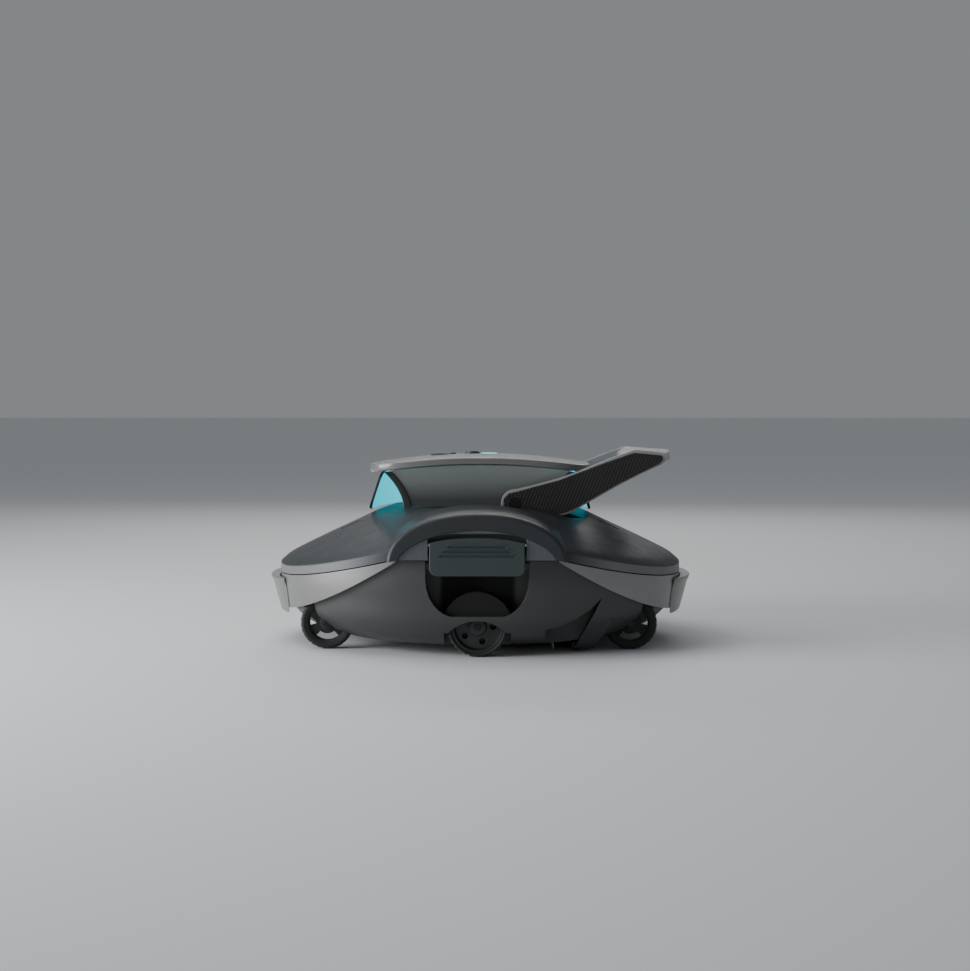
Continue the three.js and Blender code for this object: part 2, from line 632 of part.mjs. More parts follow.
function handle() {
  const { armY, armThick, pinR, pivotX, pivotZ } = HANDLE;
  const arm = plateXZ(handleOutline(), -armY - armThick / 2, -armY + armThick / 2);
  const rings = [];
  const steps = 12;
  const span = armY + armThick / 2;
  for (let i = 0; i <= steps; i++) {
    const y = -span + (2 * span * i) / steps;
    const bow = (HANDLE.gripX - 179) * (1 - (y / span) ** 2);
    const section = [
      [150, 164.5], [174, 173], [179 + bow, 177], [178 + bow, 184.2 + bow * 0.15],
      [150 + bow, 187], [144 + bow * 0.6, 185.2], [140, 180],
    ];
    rings.push(section.map(([x, z]) => [x, y, z]));
  }
  const body = join(arm, mirrorY(arm), loft(rings));
  return cut(body, bothSides(rodY(pinR + RUN, -armY - 10, -armY + 10, pivotX, pivotZ, 20)));
}

// A textured side pad on the outside of each arm.
function gripPad() {
  const y = HANDLE.armY + HANDLE.armThick / 2;
  const low = [[52, 127], [82, 128.4], [90, 131.6], [133, 156], [168, 173.5]];
  const high = [[166, 180.5], [147, 182.5], [115, 171], [76, 156], [52, 149]];
  const outline = [...low, ...high];
  return plateXZ(outline, -y - 1.4, -y - GAP);
}

const handlePin = () => {
  const { pinR, pivotX, pivotZ, armY, armThick } = HANDLE;
  const y = armY + armThick / 2;
  const shank = rodY(pinR, -y, -(CABIN.wallY - 4), pivotX, pivotZ, 20);
  const head = rodY(pinR + 2.5, -y - 1.6, -y - GAP, pivotX, pivotZ, 20);
  const neck = rodY(pinR - 1, -y - 1, -y + 1, pivotX, pivotZ, 20);
  return join(shank, head, neck);
};

// ---- Wheels ----
function lathe(profile, n, place) {
  const points = [...profile, profile[0]].map(([r, y]) => new THREE.Vector2(r, y));
  return solid(new THREE.LatheGeometry(points, n)).translate(place);
}

function sideHub(y) {
  const { r, width, tyre } = SIDE_WHEEL;
  const w = width / 2;
  const rim = r - tyre;
  const bore = AXLE_R + RUN;
  const half = [[rim, w - 1.5], [rim - 2, w - 1.5], [rim - 3, 2], [9, 2], [8, w - 1], [bore, w - 1]];
  const disc = lathe([...half.map(([q, v]) => [q, -v]).reverse(), ...half], 20, [0, y, r]);
  const holes = Array.from({ length: 5 }, (_, i) => {
    const t = (2 * PI * i) / 5;
    return rodY(2.8, y - w, y + w, 14.5 * cos(t), r + 14.5 * sin(t), 6);
  });
  return cut(disc, ...holes);
}

function sideTyre(y) {
  const { r, width, tyre } = SIDE_WHEEL;
  const w = width / 2;
  const low = r - tyre + GAP / 2;
  const profile = [[low, -w + 1.5], [r - 1.5, -w], [r, -w + 2], [r, w - 2], [r - 1.5, w], [low, w - 1.5]];
  return lathe(profile, 30, [0, y, r]);
}

function endWheel(x, y) {
  const { r, width, rim } = END_WHEEL;
  const w = width / 2;
  const inner = r - rim;
  const profile = [[inner, -w + 2], [r - 3, -w], [r, -w + 3], [r, w - 3], [r - 3, w], [inner, w - 2]];
  const ring = lathe(profile, 26, [x, y, r]);
  const hub = rodY(6, y - w + 1, y + w - 1, x, r, 12);
  const spokes = [0, 1, 2].map((i) => {
    const t = PI / 2 + (2 * PI * i) / 3;
    const g = new THREE.BoxGeometry(inner, 6, 5).translate(inner / 2 + 0.5, 0, 0).rotateY(-t);
    return solid(g).translate([x, y, r]);
  });
  return cut(join(ring, hub, ...spokes), rodY(AXLE_R + RUN, y - w, y + w, x, r, 14));
}

function axle(x, y, w, r, play) {
  const way = sign(y);
  const inside = y - way * (w / 2 + play + WALL + 1.5);
  const outside = y + way * (w / 2 + (x === 0 ? 0 : play + WALL) - 0.5);
  return rodY(AXLE_R, min(inside, outside), max(inside, outside), x, r, 14);
}

// ---- Underside pieces ----
function suctionSkirt() {
  const outline = [[87.5, 2.5], [104, 2.5], [111, 7.6], [87.5, 7.6]];
  return plateXZ(outline, -118, 118);
}

const wiper = () => box(69.4, 70.8, -112, 112, 1, HULL_BOTTOM_Z - GAP);

function inletFlap(way) {
  const { pinX, pinZ, pinR, thick, halfWidth } = FLAP;
  const z = HULL_BOTTOM_Z + WALL + 0.3;
  const leaf = box(pinX, MOUTH.outerX + 3, -halfWidth, halfWidth, z, z + thick);
  const knuckle = rodY(3, -halfWidth, halfWidth, pinX, pinZ, 14);
  const made = cut(join(leaf, knuckle), rodY(pinR + RUN, -halfWidth - 1, halfWidth + 1, pinX, pinZ, 12));
  return way > 0 ? made : mirrorX(made);
}

const flapPin = (way) => rodY(FLAP.pinR, -FLAP.earY - 1.5, FLAP.earY + 1.5, way * FLAP.pinX, FLAP.pinZ, 12);

// ---- Inside the upper housing ----
const FLOOR = { a: BODY.halfLength - 27, b: BODY.halfWidth - 24 };

function innerFloor() {
  const { a, b } = FLOOR;
  const plate = ovals([[PLATE.z, a, b], [PLATE.z + PLATE.thick, a, b]], BODY.power, 40);
  const clear = POCKET.halfWidth + 6;
  const sideCut = bothSides(box(-clear, clear, -BEYOND_Y, -POCKET.depthY + 6, 0, 100));
  return cut(plate, rodZ(DUCT.r - DUCT.wall - 1, 50, 80), sideCut);
}

const duct = () => cut(rodZ(DUCT.r, DUCT.bottomZ - 1.6, DECK.z), rodZ(DUCT.r - DUCT.wall, 50, 140));

function motor() {
  const body = rodZ(MOTOR.r, MOTOR.bottomZ, MOTOR.bottomZ + MOTOR.length - 8, 0, 0, 28);
  const fins = [0, 1, 2].map((i) => {
    const t = (2 * PI * i) / 3;
    const reach = DUCT.r - DUCT.wall - GAP;
    const g = new THREE.BoxGeometry(reach, 3, 24).translate(reach / 2, 0, 0).rotateZ(t);
    return solid(g).translate([0, 0, MOTOR.bottomZ + 22]);
  });
  return cut(join(body, ...fins), rodZ(2 + RUN, 60, MOTOR.bottomZ + 20, 0, 0, 16));
}

function impeller() {
  const hub = rodZ(8, 72, 82, 0, 0, 20);
  const blades = [0, 1, 2, 3].map((i) => {
    const g = new THREE.BoxGeometry(22, 1.8, 9).rotateX(0.6).translate(11.5, 0, 0).rotateZ((PI * i) / 2);
    return solid(g).translate([0, 0, 77]);
  });
  return join(hub, ...blades, rodZ(2, 81, 98, 0, 0, 16));
}

function batteryCase(y) {
  const w = 26;
  return loft([[-62, 0], [-58, 3], [58, 3], [62, 0]].map(([x, grow]) =>
    oval(w / 2 + grow, 14 + grow, 4, 20).map(([v, z]) => [x, y + v, PLATE.z + PLATE.thick + 18 + z])));
}

const controlBox = () => box(66, 116, -34, 34, PLATE.z + PLATE.thick + GAP, 96);

// ---- Filter ----
const FILTER = { x: BODY.halfLength - 91, y: BODY.halfWidth - 66, z: 50, thick: 5, rim: 11, bar: 8 };

function filterFrame() {
  const { x, y, z, thick, rim, bar } = FILTER;
  const plate = ovals([[z, x, y], [z + thick, x, y]], 5, 40);
  // Nine windows with bars between them.
  const w = (x - rim - bar) / 3;
  const h = (y - rim - bar) / 3;
  const windows = [];
  for (const sx of [-1, 0, 1]) {
    for (const sy of [-1, 0, 1]) {
      const midX = sx * (2 * w + bar);
      const midY = sy * (2 * h + bar);
      windows.push(box(midX - w, midX + w, midY - h, midY + h, z - 1, z + thick + 1));
    }
  }
  return cut(plate, ...windows);
}

function filterMesh() {
  const { x, y, z } = FILTER;
  return ovals([[z - 1.4, x - 3, y - 3], [z - GAP, x - 3, y - 3]], 5, 40);
}

// ---- Roof controls ----
const roofZ = (x) => roofTopZ(x, 0);

function powerButton() {
  const { buttonX: x, buttonR: r } = PANEL;
  const top = roofZ(x);
  return join(rodZ(r, top - 5, top + 1.2, x, 0, 24), rodZ(r - 1.2, top + 1, top + 2, x, 0, 24));
}

const statusLamp = () => rodZ(PANEL.lampR, ROOF.topZ - 2.2, roofZ(PANEL.lampX) + 0.4, PANEL.lampX, 0, 24);

function portCap() {
  const { portX: x, portR: r } = PANEL;
  const lid = rodZ(r, roofZ(x) - 2.2, roofZ(x) + 0.6, x, 0, 24);
  const tab = box(x + r - 2, x + r + 2.4, -3, 3, roofZ(x) + 0.2, roofZ(x) + 1.6);
  return join(lid, tab.intersect(box(x, x + r + 2.4, -4, 4, roofZ(x) + 0.15, 200)));
}

// ---- Materials ----
function finish(color, roughness, metalness = 0) {
  return new THREE.MeshStandardMaterial({ color, roughness, metalness });
}

const GRAPHITE = finish(0x3a4142, 0.45);
const PEWTER = finish(0x8d8988, 0.4, 0.2);
const CHARCOAL = finish(0x232323, 0.5);
const SLATE = finish(0x414a4b, 0.5);
const GLOSS_GREY = finish(0x55575a, 0.2);
const AQUA = finish(0x3fe0e6, 0.2);
const BLACK = finish(0x121212, 0.6);
const RUBBER = finish(0x0d0d0d, 0.85);
const GRIP = finish(0x1c1a1a, 0.7);
const STEEL = finish(0xb8bcc0, 0.3, 1);
const PALE = finish(0xc8cdd0, 0.5);
const BLUE_CASE = finish(0x2c4f7c, 0.5);

const cleaner = new THREE.Group();

function piece(name, manifold, material) {
  const mesh = new THREE.Mesh(geometryOf(manifold), material);
  mesh.name = name;
  cleaner.add(mesh);
}

piece("lower_hull", lowerHull(), CHARCOAL);
piece("top_shell", topShell(), GRAPHITE);
for (const [name, way] of [["front", -1], ["rear", 1]]) {
  piece(`band_${name}`, band(way), PEWTER);
  piece(`bumper_${name}`, bumper(way), PEWTER);
  piece(`jet_nozzle_${name}`, nozzle(way), AQUA);
  piece(`nozzle_rim_${name}`, nozzleRim(way), BLACK);
  piece(`inlet_flap_${name}`, inletFlap(way), RUBBER);
  piece(`inlet_flap_pin_${name}`, flapPin(way), STEEL);
}
for (const [name, side] of [["left", (m) => m], ["right", mirrorY]]) {
  piece(`latch_surround_${name}`, side(latchSurround()), SLATE);
  piece(`latch_${name}`, side(latchPlate()), SLATE);
  piece(`latch_pin_${name}`, side(latchPin()), STEEL);
  piece(`cabin_wall_${name}`, side(cabinWall()), GLOSS_GREY);
  piece(`grip_pad_${name}`, side(gripPad()), GRIP);
  piece(`handle_pin_${name}`, side(handlePin()), STEEL);
}
piece("roof_cover", roof(), GLOSS_GREY);
piece("junction_box", junctionBox(), BLACK);
piece("flow_flap", flowFlap(), BLACK);
piece("flow_flap_pin", flowFlapPin(), STEEL);
piece("handle", handle(), GLOSS_GREY);

const WHEEL_NAMES = ["left", "right", "front_left", "front_right", "rear_left", "rear_right"];
for (const [i, place] of wheelPlaces().entries()) {
  const name = WHEEL_NAMES[i];
  const [x, y] = place;
  if (x === 0) {
    piece(`side_hub_${name}`, sideHub(y), BLACK);
    piece(`side_tyre_${name}`, sideTyre(y), RUBBER);
    piece(`side_axle_${name}`, axle(...place), STEEL);
  } else {
    piece(`wheel_${name}`, endWheel(x, y), RUBBER);
    piece(`axle_${name}`, axle(...place), STEEL);
  }
}

piece("suction_skirt", suctionSkirt(), CHARCOAL);
piece("wiper_blade", wiper(), PALE);
piece("filter_frame", filterFrame(), PALE);
piece("filter_mesh", filterMesh(), PALE);
piece("inner_floor", innerFloor(), BLACK);
piece("pump_duct", duct(), BLACK);
piece("pump_motor", motor(), STEEL);
piece("impeller", impeller(), PALE);
piece("battery_left", batteryCase(-66), BLUE_CASE);
piece("battery_right", batteryCase(66), BLUE_CASE);
piece("control_box", controlBox(), BLACK);
piece("power_button", powerButton(), SLATE);
piece("status_lamp", statusLamp(), AQUA);
piece("charge_port_cap", portCap(), RUBBER);

export default cleaner;
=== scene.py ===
"""A cordless pool cleaner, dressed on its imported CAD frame.

The machine drives towards -X and stands on the floor at z = 0. Outlines are written in millimetres, as on a
drawing, and are put in metres where a mesh is placed.
"""

import math

import bpy
import numpy as np
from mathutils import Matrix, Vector


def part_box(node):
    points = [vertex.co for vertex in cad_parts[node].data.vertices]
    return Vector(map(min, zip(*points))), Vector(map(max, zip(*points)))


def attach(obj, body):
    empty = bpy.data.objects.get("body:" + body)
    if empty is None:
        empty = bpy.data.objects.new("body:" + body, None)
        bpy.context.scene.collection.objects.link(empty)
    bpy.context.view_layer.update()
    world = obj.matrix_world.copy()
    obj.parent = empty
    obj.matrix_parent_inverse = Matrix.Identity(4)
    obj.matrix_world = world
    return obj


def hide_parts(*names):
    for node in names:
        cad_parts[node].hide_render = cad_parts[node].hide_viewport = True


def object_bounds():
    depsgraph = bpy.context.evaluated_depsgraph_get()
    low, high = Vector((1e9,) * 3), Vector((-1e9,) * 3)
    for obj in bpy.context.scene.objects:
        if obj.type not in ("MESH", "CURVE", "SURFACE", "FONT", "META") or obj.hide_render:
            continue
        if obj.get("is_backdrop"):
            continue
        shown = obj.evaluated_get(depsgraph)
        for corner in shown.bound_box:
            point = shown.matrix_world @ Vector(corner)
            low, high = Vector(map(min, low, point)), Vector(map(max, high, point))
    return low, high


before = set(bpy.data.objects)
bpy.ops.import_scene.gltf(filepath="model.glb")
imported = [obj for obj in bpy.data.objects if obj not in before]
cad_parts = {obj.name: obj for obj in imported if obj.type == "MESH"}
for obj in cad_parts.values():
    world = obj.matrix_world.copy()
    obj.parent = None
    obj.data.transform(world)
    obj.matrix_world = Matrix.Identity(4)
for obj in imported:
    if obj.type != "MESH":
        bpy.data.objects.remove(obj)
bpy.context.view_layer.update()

# ---- Lower hull ----
# The tub the machine stands on: one thick charcoal moulding with a finger pocket on each side, a room for
# every wheel, suction slots in its floor and a leg beside each end of the suction shoe. The upper housing
# hides its rim.

MM = 0.001
AROUND = 144
HULL_SECTIONS = (
    (8, 112, 140),
    (11, 138, 154),
    (17, 160, 165),
    (26, 176, 171),
    (36, 184.5, 175),
    (52, 187, 177),
    (68, 190, 179),
    (94, 190, 180),
)
PLAN_POWER = 2.4
HULL_WALL = 3
SEAM_END_Z = 68
SEAM_SIDE_Z = 90
SEAM_ARCH_X = 74


def deselect():
    if bpy.context.object and bpy.context.object.mode != "OBJECT":
        bpy.ops.object.mode_set(mode="OBJECT")
    bpy.ops.object.select_all(action="DESELECT")


def pick(piece):
    deselect()
    piece.select_set(True)
    bpy.context.view_layer.objects.active = piece


def oval(a, b, power, count=AROUND):
    """Points of |x/a|^power + |y/b|^power = 1, as (x, y)."""
    turns = (np.arange(count) + 0.5) * 2 * math.pi / count
    c = np.cos(turns)
    s = np.sin(turns)
    x = a * np.sign(c) * np.abs(c) ** (2 / power)
    y = b * np.sign(s) * np.abs(s) ** (2 / power)
    return list(zip(x, y))


def arch(half, base, top, power, count=48):
    """The upper half of |x/half|^power + |(z - base)/(top - base)|^power = 1, from right to left."""
    points = []
    for i in range(count + 1):
        t = math.pi * i / count
        c = math.cos(t)
        x = half * math.copysign(abs(c) ** (2 / power), c)
        z = base + (top - base) * max(0.0, math.sin(t)) ** (2 / power)
        points.append((x, z))
    return points


def smooth_rows(rows, steps=5):
    """The rows of a section table with more rows between them, on a curve that never overshoots."""
    rows = np.array(rows, float)
    rise = np.diff(rows, axis=0)
    slope = np.zeros_like(rows)
    slope[0], slope[-1] = rise[0], rise[-1]
    before, after = rise[:-1], rise[1:]
    same_way = before * after > 0
    mean = np.where(same_way, 2 * before * after / np.where(same_way, before + after, 1), 0)
    slope[1:-1] = mean
    out = []
    for i in range(len(rows) - 1):
        for t in np.linspace(0, 1, steps, endpoint=False):
            h = (2 * t**3 - 3 * t**2 + 1, t**3 - 2 * t**2 + t, 3 * t**2 - 2 * t**3, t**3 - t**2)
            out.append(h[0] * rows[i] + h[1] * slope[i] + h[2] * rows[i + 1] + h[3] * slope[i + 1])
    return out + [rows[-1]]


def close_and_turn_out(piece):
    """Merges doubled points, fills open ends and points every face outwards."""
    pick(piece)
    bpy.ops.object.mode_set(mode="EDIT")
    bpy.ops.mesh.select_all(action="SELECT")
    bpy.ops.mesh.remove_doubles(threshold=1e-6)
    bpy.ops.mesh.fill_holes(sides=0)
    bpy.ops.mesh.select_all(action="SELECT")
    bpy.ops.mesh.normals_make_consistent(inside=False)
    bpy.ops.object.mode_set(mode="OBJECT")


def skin(name, rings):
    """A closed body through rings of (x, y, z) points in millimetres, wrapped from a grid."""
    deselect()
    count = len(rings[0])
    bpy.ops.mesh.primitive_grid_add(x_subdivisions=count, y_subdivisions=len(rings) - 1, location=(0, 0, 0))
    piece = bpy.context.object
    piece.name = name
    places = np.array([p for ring in rings for p in (*ring, ring[0])], float)
    piece.data.vertices.foreach_set("co", places.ravel() * MM)
    close_and_turn_out(piece)
    return piece


def prism(name, outline, y0, y1):
    """A closed body with an (x, z) outline, from y0 to y1."""
    return skin(name, [[(x, y, z) for x, z in outline] for y in (y0, y1)])


def block(name, low, high):
    deselect()
    centre = [(a + b) / 2 * MM for a, b in zip(low, high)]
    bpy.ops.mesh.primitive_cube_add(size=1, location=centre)
    piece = bpy.context.object
    piece.name = name
    piece.scale = [(b - a) * MM for a, b in zip(low, high)]
    bpy.ops.object.transform_apply(location=True, rotation=True, scale=True)
    return piece


def rod(name, radius, ends, axis, at, count=64):
    """A cylinder in millimetres: ends are its two places along the axis, at its other two coordinates."""
    deselect()
    middle = (ends[0] + ends[1]) / 2
    turn, place = {
        "X": ((0, math.pi / 2, 0), (middle, *at)),
        "Y": ((math.pi / 2, 0, 0), (at[0], middle, at[1])),
        "Z": ((0, 0, 0), (*at, middle)),
    }[axis]
    bpy.ops.mesh.primitive_cylinder_add(
        vertices=count,
        radius=radius * MM,
        depth=abs(ends[1] - ends[0]) * MM,
        location=[v * MM for v in place],
        rotation=turn,
    )
    piece = bpy.context.object
    piece.name = name
    bpy.ops.object.transform_apply(location=True, rotation=True, scale=True)
    return piece


def combine(piece, tool, how):
    pick(piece)
    change = piece.modifiers.new(how.lower(), "BOOLEAN")
    change.operation = how
    change.solver = "EXACT"
    change.object = tool
    bpy.ops.object.modifier_apply(modifier=change.name)
    bpy.data.objects.remove(tool)


def cut(piece, *tools):
    for tool in tools:
        combine(piece, tool, "DIFFERENCE")
    return piece


def join(piece, *tools):
    for tool in tools:
        combine(piece, tool, "UNION")
    return piece


def keep_inside(piece, tool):
    combine(piece, tool, "INTERSECT")
    return piece


def both_sides(make):
    """make(1) and make(-1), for a pair of tools mirrored over the middle of the machine."""
    return make(-1), make(1)


def seam_z(x):
    """Height of the joint between the base and the upper housing."""
    s = min(1.0, max(0.0, (abs(x) - SEAM_ARCH_X) / (190 - SEAM_ARCH_X)))
    return SEAM_END_Z + (SEAM_SIDE_Z - SEAM_END_Z) * (1 - s) ** 1.3


def seam_slab(name, low, high):
    """All that is between the seam plus low and the seam plus high; None is far away."""
    xs = np.concatenate([[-230], np.linspace(-190, -74, 22), np.linspace(74, 190, 22), [230]])
    top = [(x, 420 if high is None else seam_z(x) + high) for x in xs]
    foot = [(x, -60 if low is None else seam_z(x) + low) for x in reversed(xs)]
    return prism(name, top + foot, -250, 250)


def dress(piece, material, angle=34):
    """Smooth shading that keeps the hard edges, and one material."""
    pick(piece)
    bpy.ops.object.shade_smooth_by_angle(angle=math.radians(angle))
    even = piece.modifiers.new("even_shading", "WEIGHTED_NORMAL")
    even.keep_sharp = True
    bpy.ops.object.modifier_apply(modifier=even.name)
    piece.data.materials.clear()
    piece.data.materials.append(material)


def fit(piece, body, slot_name, *nodes):
    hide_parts(*nodes)
    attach(piece, body)


def moulded(
    name,
    colour,
    rough,
    *,
    grain=0.04,
    grain_scale=1500,
    edge=0.5,
    soft_edge=0.0007,
    metal=0.0,
    coat=0.0,
    cloudy=0.1,
):
    """A moulded plastic: cloudy tone, uneven gloss, a fine texture, and edges painted paler: a painted
    highlight with a little wear.
    """
    m = bpy.data.materials.new(name)
    m.use_nodes = True
    nodes = m.node_tree.nodes
    link = m.node_tree.links.new
    shader = nodes["Principled BSDF"]
    shader.inputs["Metallic"].default_value = metal
    shader.inputs["Coat Weight"].default_value = coat
    shader.inputs["Coat Roughness"].default_value = 0.12
    where = nodes.new("ShaderNodeTexCoord")

    cloud = nodes.new("ShaderNodeTexNoise")
    cloud.inputs["Scale"].default_value = 14
    cloud.inputs["Detail"].default_value = 5
    link(where.outputs["Object"], cloud.inputs["Vector"])
    tone = nodes.new("ShaderNodeMix")
    tone.data_type = "RGBA"
    tone.inputs["A"].default_value = (*[c * (1 - cloudy) for c in colour], 1)
    tone.inputs["B"].default_value = (*[min(1, c * (1 + cloudy)) for c in colour], 1)
    link(cloud.outputs["Fac"], tone.inputs["Factor"])

    # The rounded normal leaves the true one only near an edge, so their difference finds the edges. These are
    # painted paler: a painted highlight along each edge, together with a little wear.
    rounded = nodes.new("ShaderNodeBevel")
    rounded.samples = 4
    rounded.inputs["Radius"].default_value = soft_edge
    true_way = nodes.new("ShaderNodeNewGeometry")
    match = nodes.new("ShaderNodeVectorMath")
    match.operation = "DOT_PRODUCT"
    link(rounded.outputs["Normal"], match.inputs[0])
    link(true_way.outputs["Normal"], match.inputs[1])
    edge_wear_and_highlight = nodes.new("ShaderNodeMapRange")
    edge_wear_and_highlight.inputs["From Min"].default_value = 1.0
    edge_wear_and_highlight.inputs["From Max"].default_value = 0.8
    edge_wear_and_highlight.inputs["To Max"].default_value = edge
    link(match.outputs["Value"], edge_wear_and_highlight.inputs["Value"])
    # Edge colour: a painted highlight with a little wear.
    worn_and_highlit_edge = nodes.new("ShaderNodeMix")
    worn_and_highlit_edge.data_type = "RGBA"
    worn_and_highlit_edge.inputs["B"].default_value = (*[min(1, c * 2 + 0.06) for c in colour], 1)
    link(tone.outputs["Result"], worn_and_highlit_edge.inputs["A"])
    link(edge_wear_and_highlight.outputs["Result"], worn_and_highlit_edge.inputs["Factor"])
    link(worn_and_highlit_edge.outputs["Result"], shader.inputs["Base Color"])

    smears = nodes.new("ShaderNodeTexNoise")
    smears.inputs["Scale"].default_value = 55
    smears.inputs["Detail"].default_value = 8
    smears.inputs["Distortion"].default_value = 0.6
    link(where.outputs["Object"], smears.inputs["Vector"])
    gloss = nodes.new("ShaderNodeMapRange")
    gloss.inputs["From Min"].default_value = 0.3
    gloss.inputs["From Max"].default_value = 0.7
    gloss.inputs["To Min"].default_value = max(0.03, rough - 0.6 * cloudy)
    gloss.inputs["To Max"].default_value = rough + 0.6 * cloudy
    link(smears.outputs["Fac"], gloss.inputs["Value"])
    link(gloss.outputs["Result"], shader.inputs["Roughness"])

    texture = nodes.new("ShaderNodeTexNoise")
    texture.inputs["Scale"].default_value = grain_scale
    texture.inputs["Detail"].default_value = 3
    link(where.outputs["Object"], texture.inputs["Vector"])
    bump = nodes.new("ShaderNodeBump")
    bump.inputs["Strength"].default_value = grain
    bump.inputs["Distance"].default_value = 0.0004
    link(texture.outputs["Fac"], bump.inputs["Height"])
    link(rounded.outputs["Normal"], bump.inputs["Normal"])
    link(bump.outputs["Normal"], shader.inputs["Normal"])
    return m


POCKET_OUTLINE = (
    (-47, 101), (-47, 72), (-46.2, 64), (-44, 56), (-40, 49), (-35, 43.5), (-29.5, 40), (-24, 38),
    (24, 38), (29.5, 40), (35, 43.5), (40, 49), (44, 56), (46.2, 64), (47, 72), (47, 101),
)
NOTCH = ((62, -5), (62, 25), (75, 28), (89, 34), (102, 42), (114, 53), (88, 2), (88, -5))
SIDE_WHEEL_Y = 158
SIDE_WHEEL_R = 27.5
END_WHEEL_X = 143
END_WHEEL_Y = 105
END_WHEEL_R = 25


def hull_body(inset=0.0):
    return [
        [(x, y, z) for x, y in oval(a - inset, b - inset, PLAN_POWER)]
        for z, a, b in smooth_rows(HULL_SECTIONS)
    ]


charcoal = moulded("satin_charcoal", (0.046, 0.046, 0.047), 0.42, grain=0.05, edge=0.4)


def paint_shade_inside(material, box, colour):
    """A painted shade: a darker, duller finish inside box (half width, |y| range, lowest z), mirrored over
    the middle plane.
    """
    nodes = material.node_tree.nodes
    link = material.node_tree.links.new
    half, near, far, low = (v * MM for v in box)
    place = nodes.new("ShaderNodeSeparateXYZ")
    link(nodes["Texture Coordinate"].outputs["Object"], place.inputs[0])

    def between(socket, start, end):
        step = nodes.new("ShaderNodeMapRange")
        step.interpolation_type = "SMOOTHSTEP"
        step.inputs["From Min"].default_value = start
        step.inputs["From Max"].default_value = end
        link(socket, step.inputs["Value"])
        return step.outputs["Result"]

    def maths(how, *sockets):
        node = nodes.new("ShaderNodeMath")
        node.operation = how
        for i, socket in enumerate(sockets):
            link(socket, node.inputs[i])
        return node.outputs[0]

    across = maths("ABSOLUTE", place.outputs["X"])
    depth = maths("ABSOLUTE", place.outputs["Y"])
    inside = maths("MULTIPLY", between(across, half, half - 0.006), between(depth, near - 0.002, near))
    inside = maths("MULTIPLY", inside, between(depth, far, far - 0.003))
    inside = maths("MULTIPLY", inside, between(place.outputs["Z"], low - 0.001, low + 0.001))
    shader = nodes["Principled BSDF"]
    paint = nodes.new("ShaderNodeMix")
    paint.data_type = "RGBA"
    paint.inputs["B"].default_value = (*colour, 1)
    link(shader.inputs["Base Color"].links[0].from_socket, paint.inputs["A"])
    link(inside, paint.inputs["Factor"])
    link(paint.outputs["Result"], shader.inputs["Base Color"])
    dull = nodes.new("ShaderNodeMix")
    dull.inputs["B"].default_value = 0.85
    link(shader.inputs["Roughness"].links[0].from_socket, dull.inputs["A"])
    link(inside, dull.inputs["Factor"])
    link(dull.outputs["Result"], shader.inputs["Roughness"])


# The inside of each finger pocket is painted near black: painted shade in the recess.
paint_shade_inside(charcoal, (37, 146, 173.5, 38), (0.006, 0.006, 0.006))

hull = skin("hull_shell", hull_body())
inner_rows = [(z + HULL_WALL, a - HULL_WALL, b - HULL_WALL) for z, a, b in HULL_SECTIONS]
room = skin("hull_room", [[(x, y, z) for x, y in oval(a, b, PLAN_POWER)] for z, a, b in inner_rows])
grown_pocket = [(x + math.copysign(3, x), z - 3 if z < 95 else z) for x, z in POCKET_OUTLINE]
cut(room, *both_sides(lambda s: prism("pocket_wall", grown_pocket, s * 147, s * 210)))
cut(room, *both_sides(lambda s: block("side_room_wall", (-34, s * 158 - 15, -5), (34, s * 158 + 15, 27.5))))
cut(room, *both_sides(lambda s: rod("side_room_arc", 34, (s * 158 - 15, s * 158 + 15), "Y", (0, 27.5))))
for x in (-END_WHEEL_X, END_WHEEL_X):
    for y in (-END_WHEEL_Y, END_WHEEL_Y):
        cut(room, block("end_room_wall", (x - 31, y - 13, -5), (x + 31, y + 13, 25)))
        cut(room, rod("end_room_arc", 31, (y - 13, y + 13), "Y", (x, 25)))
grown_notch = [(x + (3 if x > 70 else -3), z + 3) for x, z in NOTCH]
cut(room, *both_sides(lambda s: prism("notch_wall", grown_notch, s * 129, s * 210)))

# Height, front and rear x, and how far out the leg reaches at its front and rear edge.
LEG_ROWS = ((3, 88.5, 103, 127, 127), (10.5, 92.5, 112, 140, 134), (32, 104, 126, 151, 141))


def shoe_leg(s):
    """The flank comes down beside the suction shoe; its front edge is the rear edge of the notch."""
    rings = []
    for z, left, right, near, far in LEG_ROWS:
        rings.append([(left, s * near, z), (right, s * far, z), (right, s * 118.6, z), (left, s * 118.6, z)])
    return skin("shoe_leg", rings)


join(hull, *both_sides(shoe_leg))
cut(hull, room)
for s in (-1, 1):
    pocket = prism("pocket", POCKET_OUTLINE, s * 150, s * 210)
    cut(pocket, rod("wheel_house_arc", 32.5, (s * 146, s * 169.5), "Y", (0, 27.5), 96))
    near, far = sorted((s * 146, s * 169.5))
    cut(pocket, block("wheel_house", (-32.5, near, 0), (32.5, far, 27.5)))
    cut(hull, pocket)
cut(hull, *both_sides(lambda s: prism("notch", NOTCH, s * 132, s * 210)))
cut(hull, *both_sides(lambda s: block("side_room", (-30.5, s * 158 - 10, -5), (30.5, s * 158 + 9.5, 27.5))))
cut(hull, *both_sides(lambda s: rod("side_arc", 30.5, (s * 158 - 10, s * 158 + 9.5), "Y", (0, 27.5))))
cut(hull, *both_sides(lambda s: rod("skin_arc", 36.5, (s * 162, s * 210), "Y", (0, -2.5), 96)))
for x in (-END_WHEEL_X, END_WHEEL_X):
    for y in (-END_WHEEL_Y, END_WHEEL_Y):
        cut(hull, block("end_room", (x - 28, y - 10, -5), (x + 28, y + 10, 25)))
        cut(hull, rod("end_arc", 28, (y - 10, y + 10), "Y", (x, 25)))
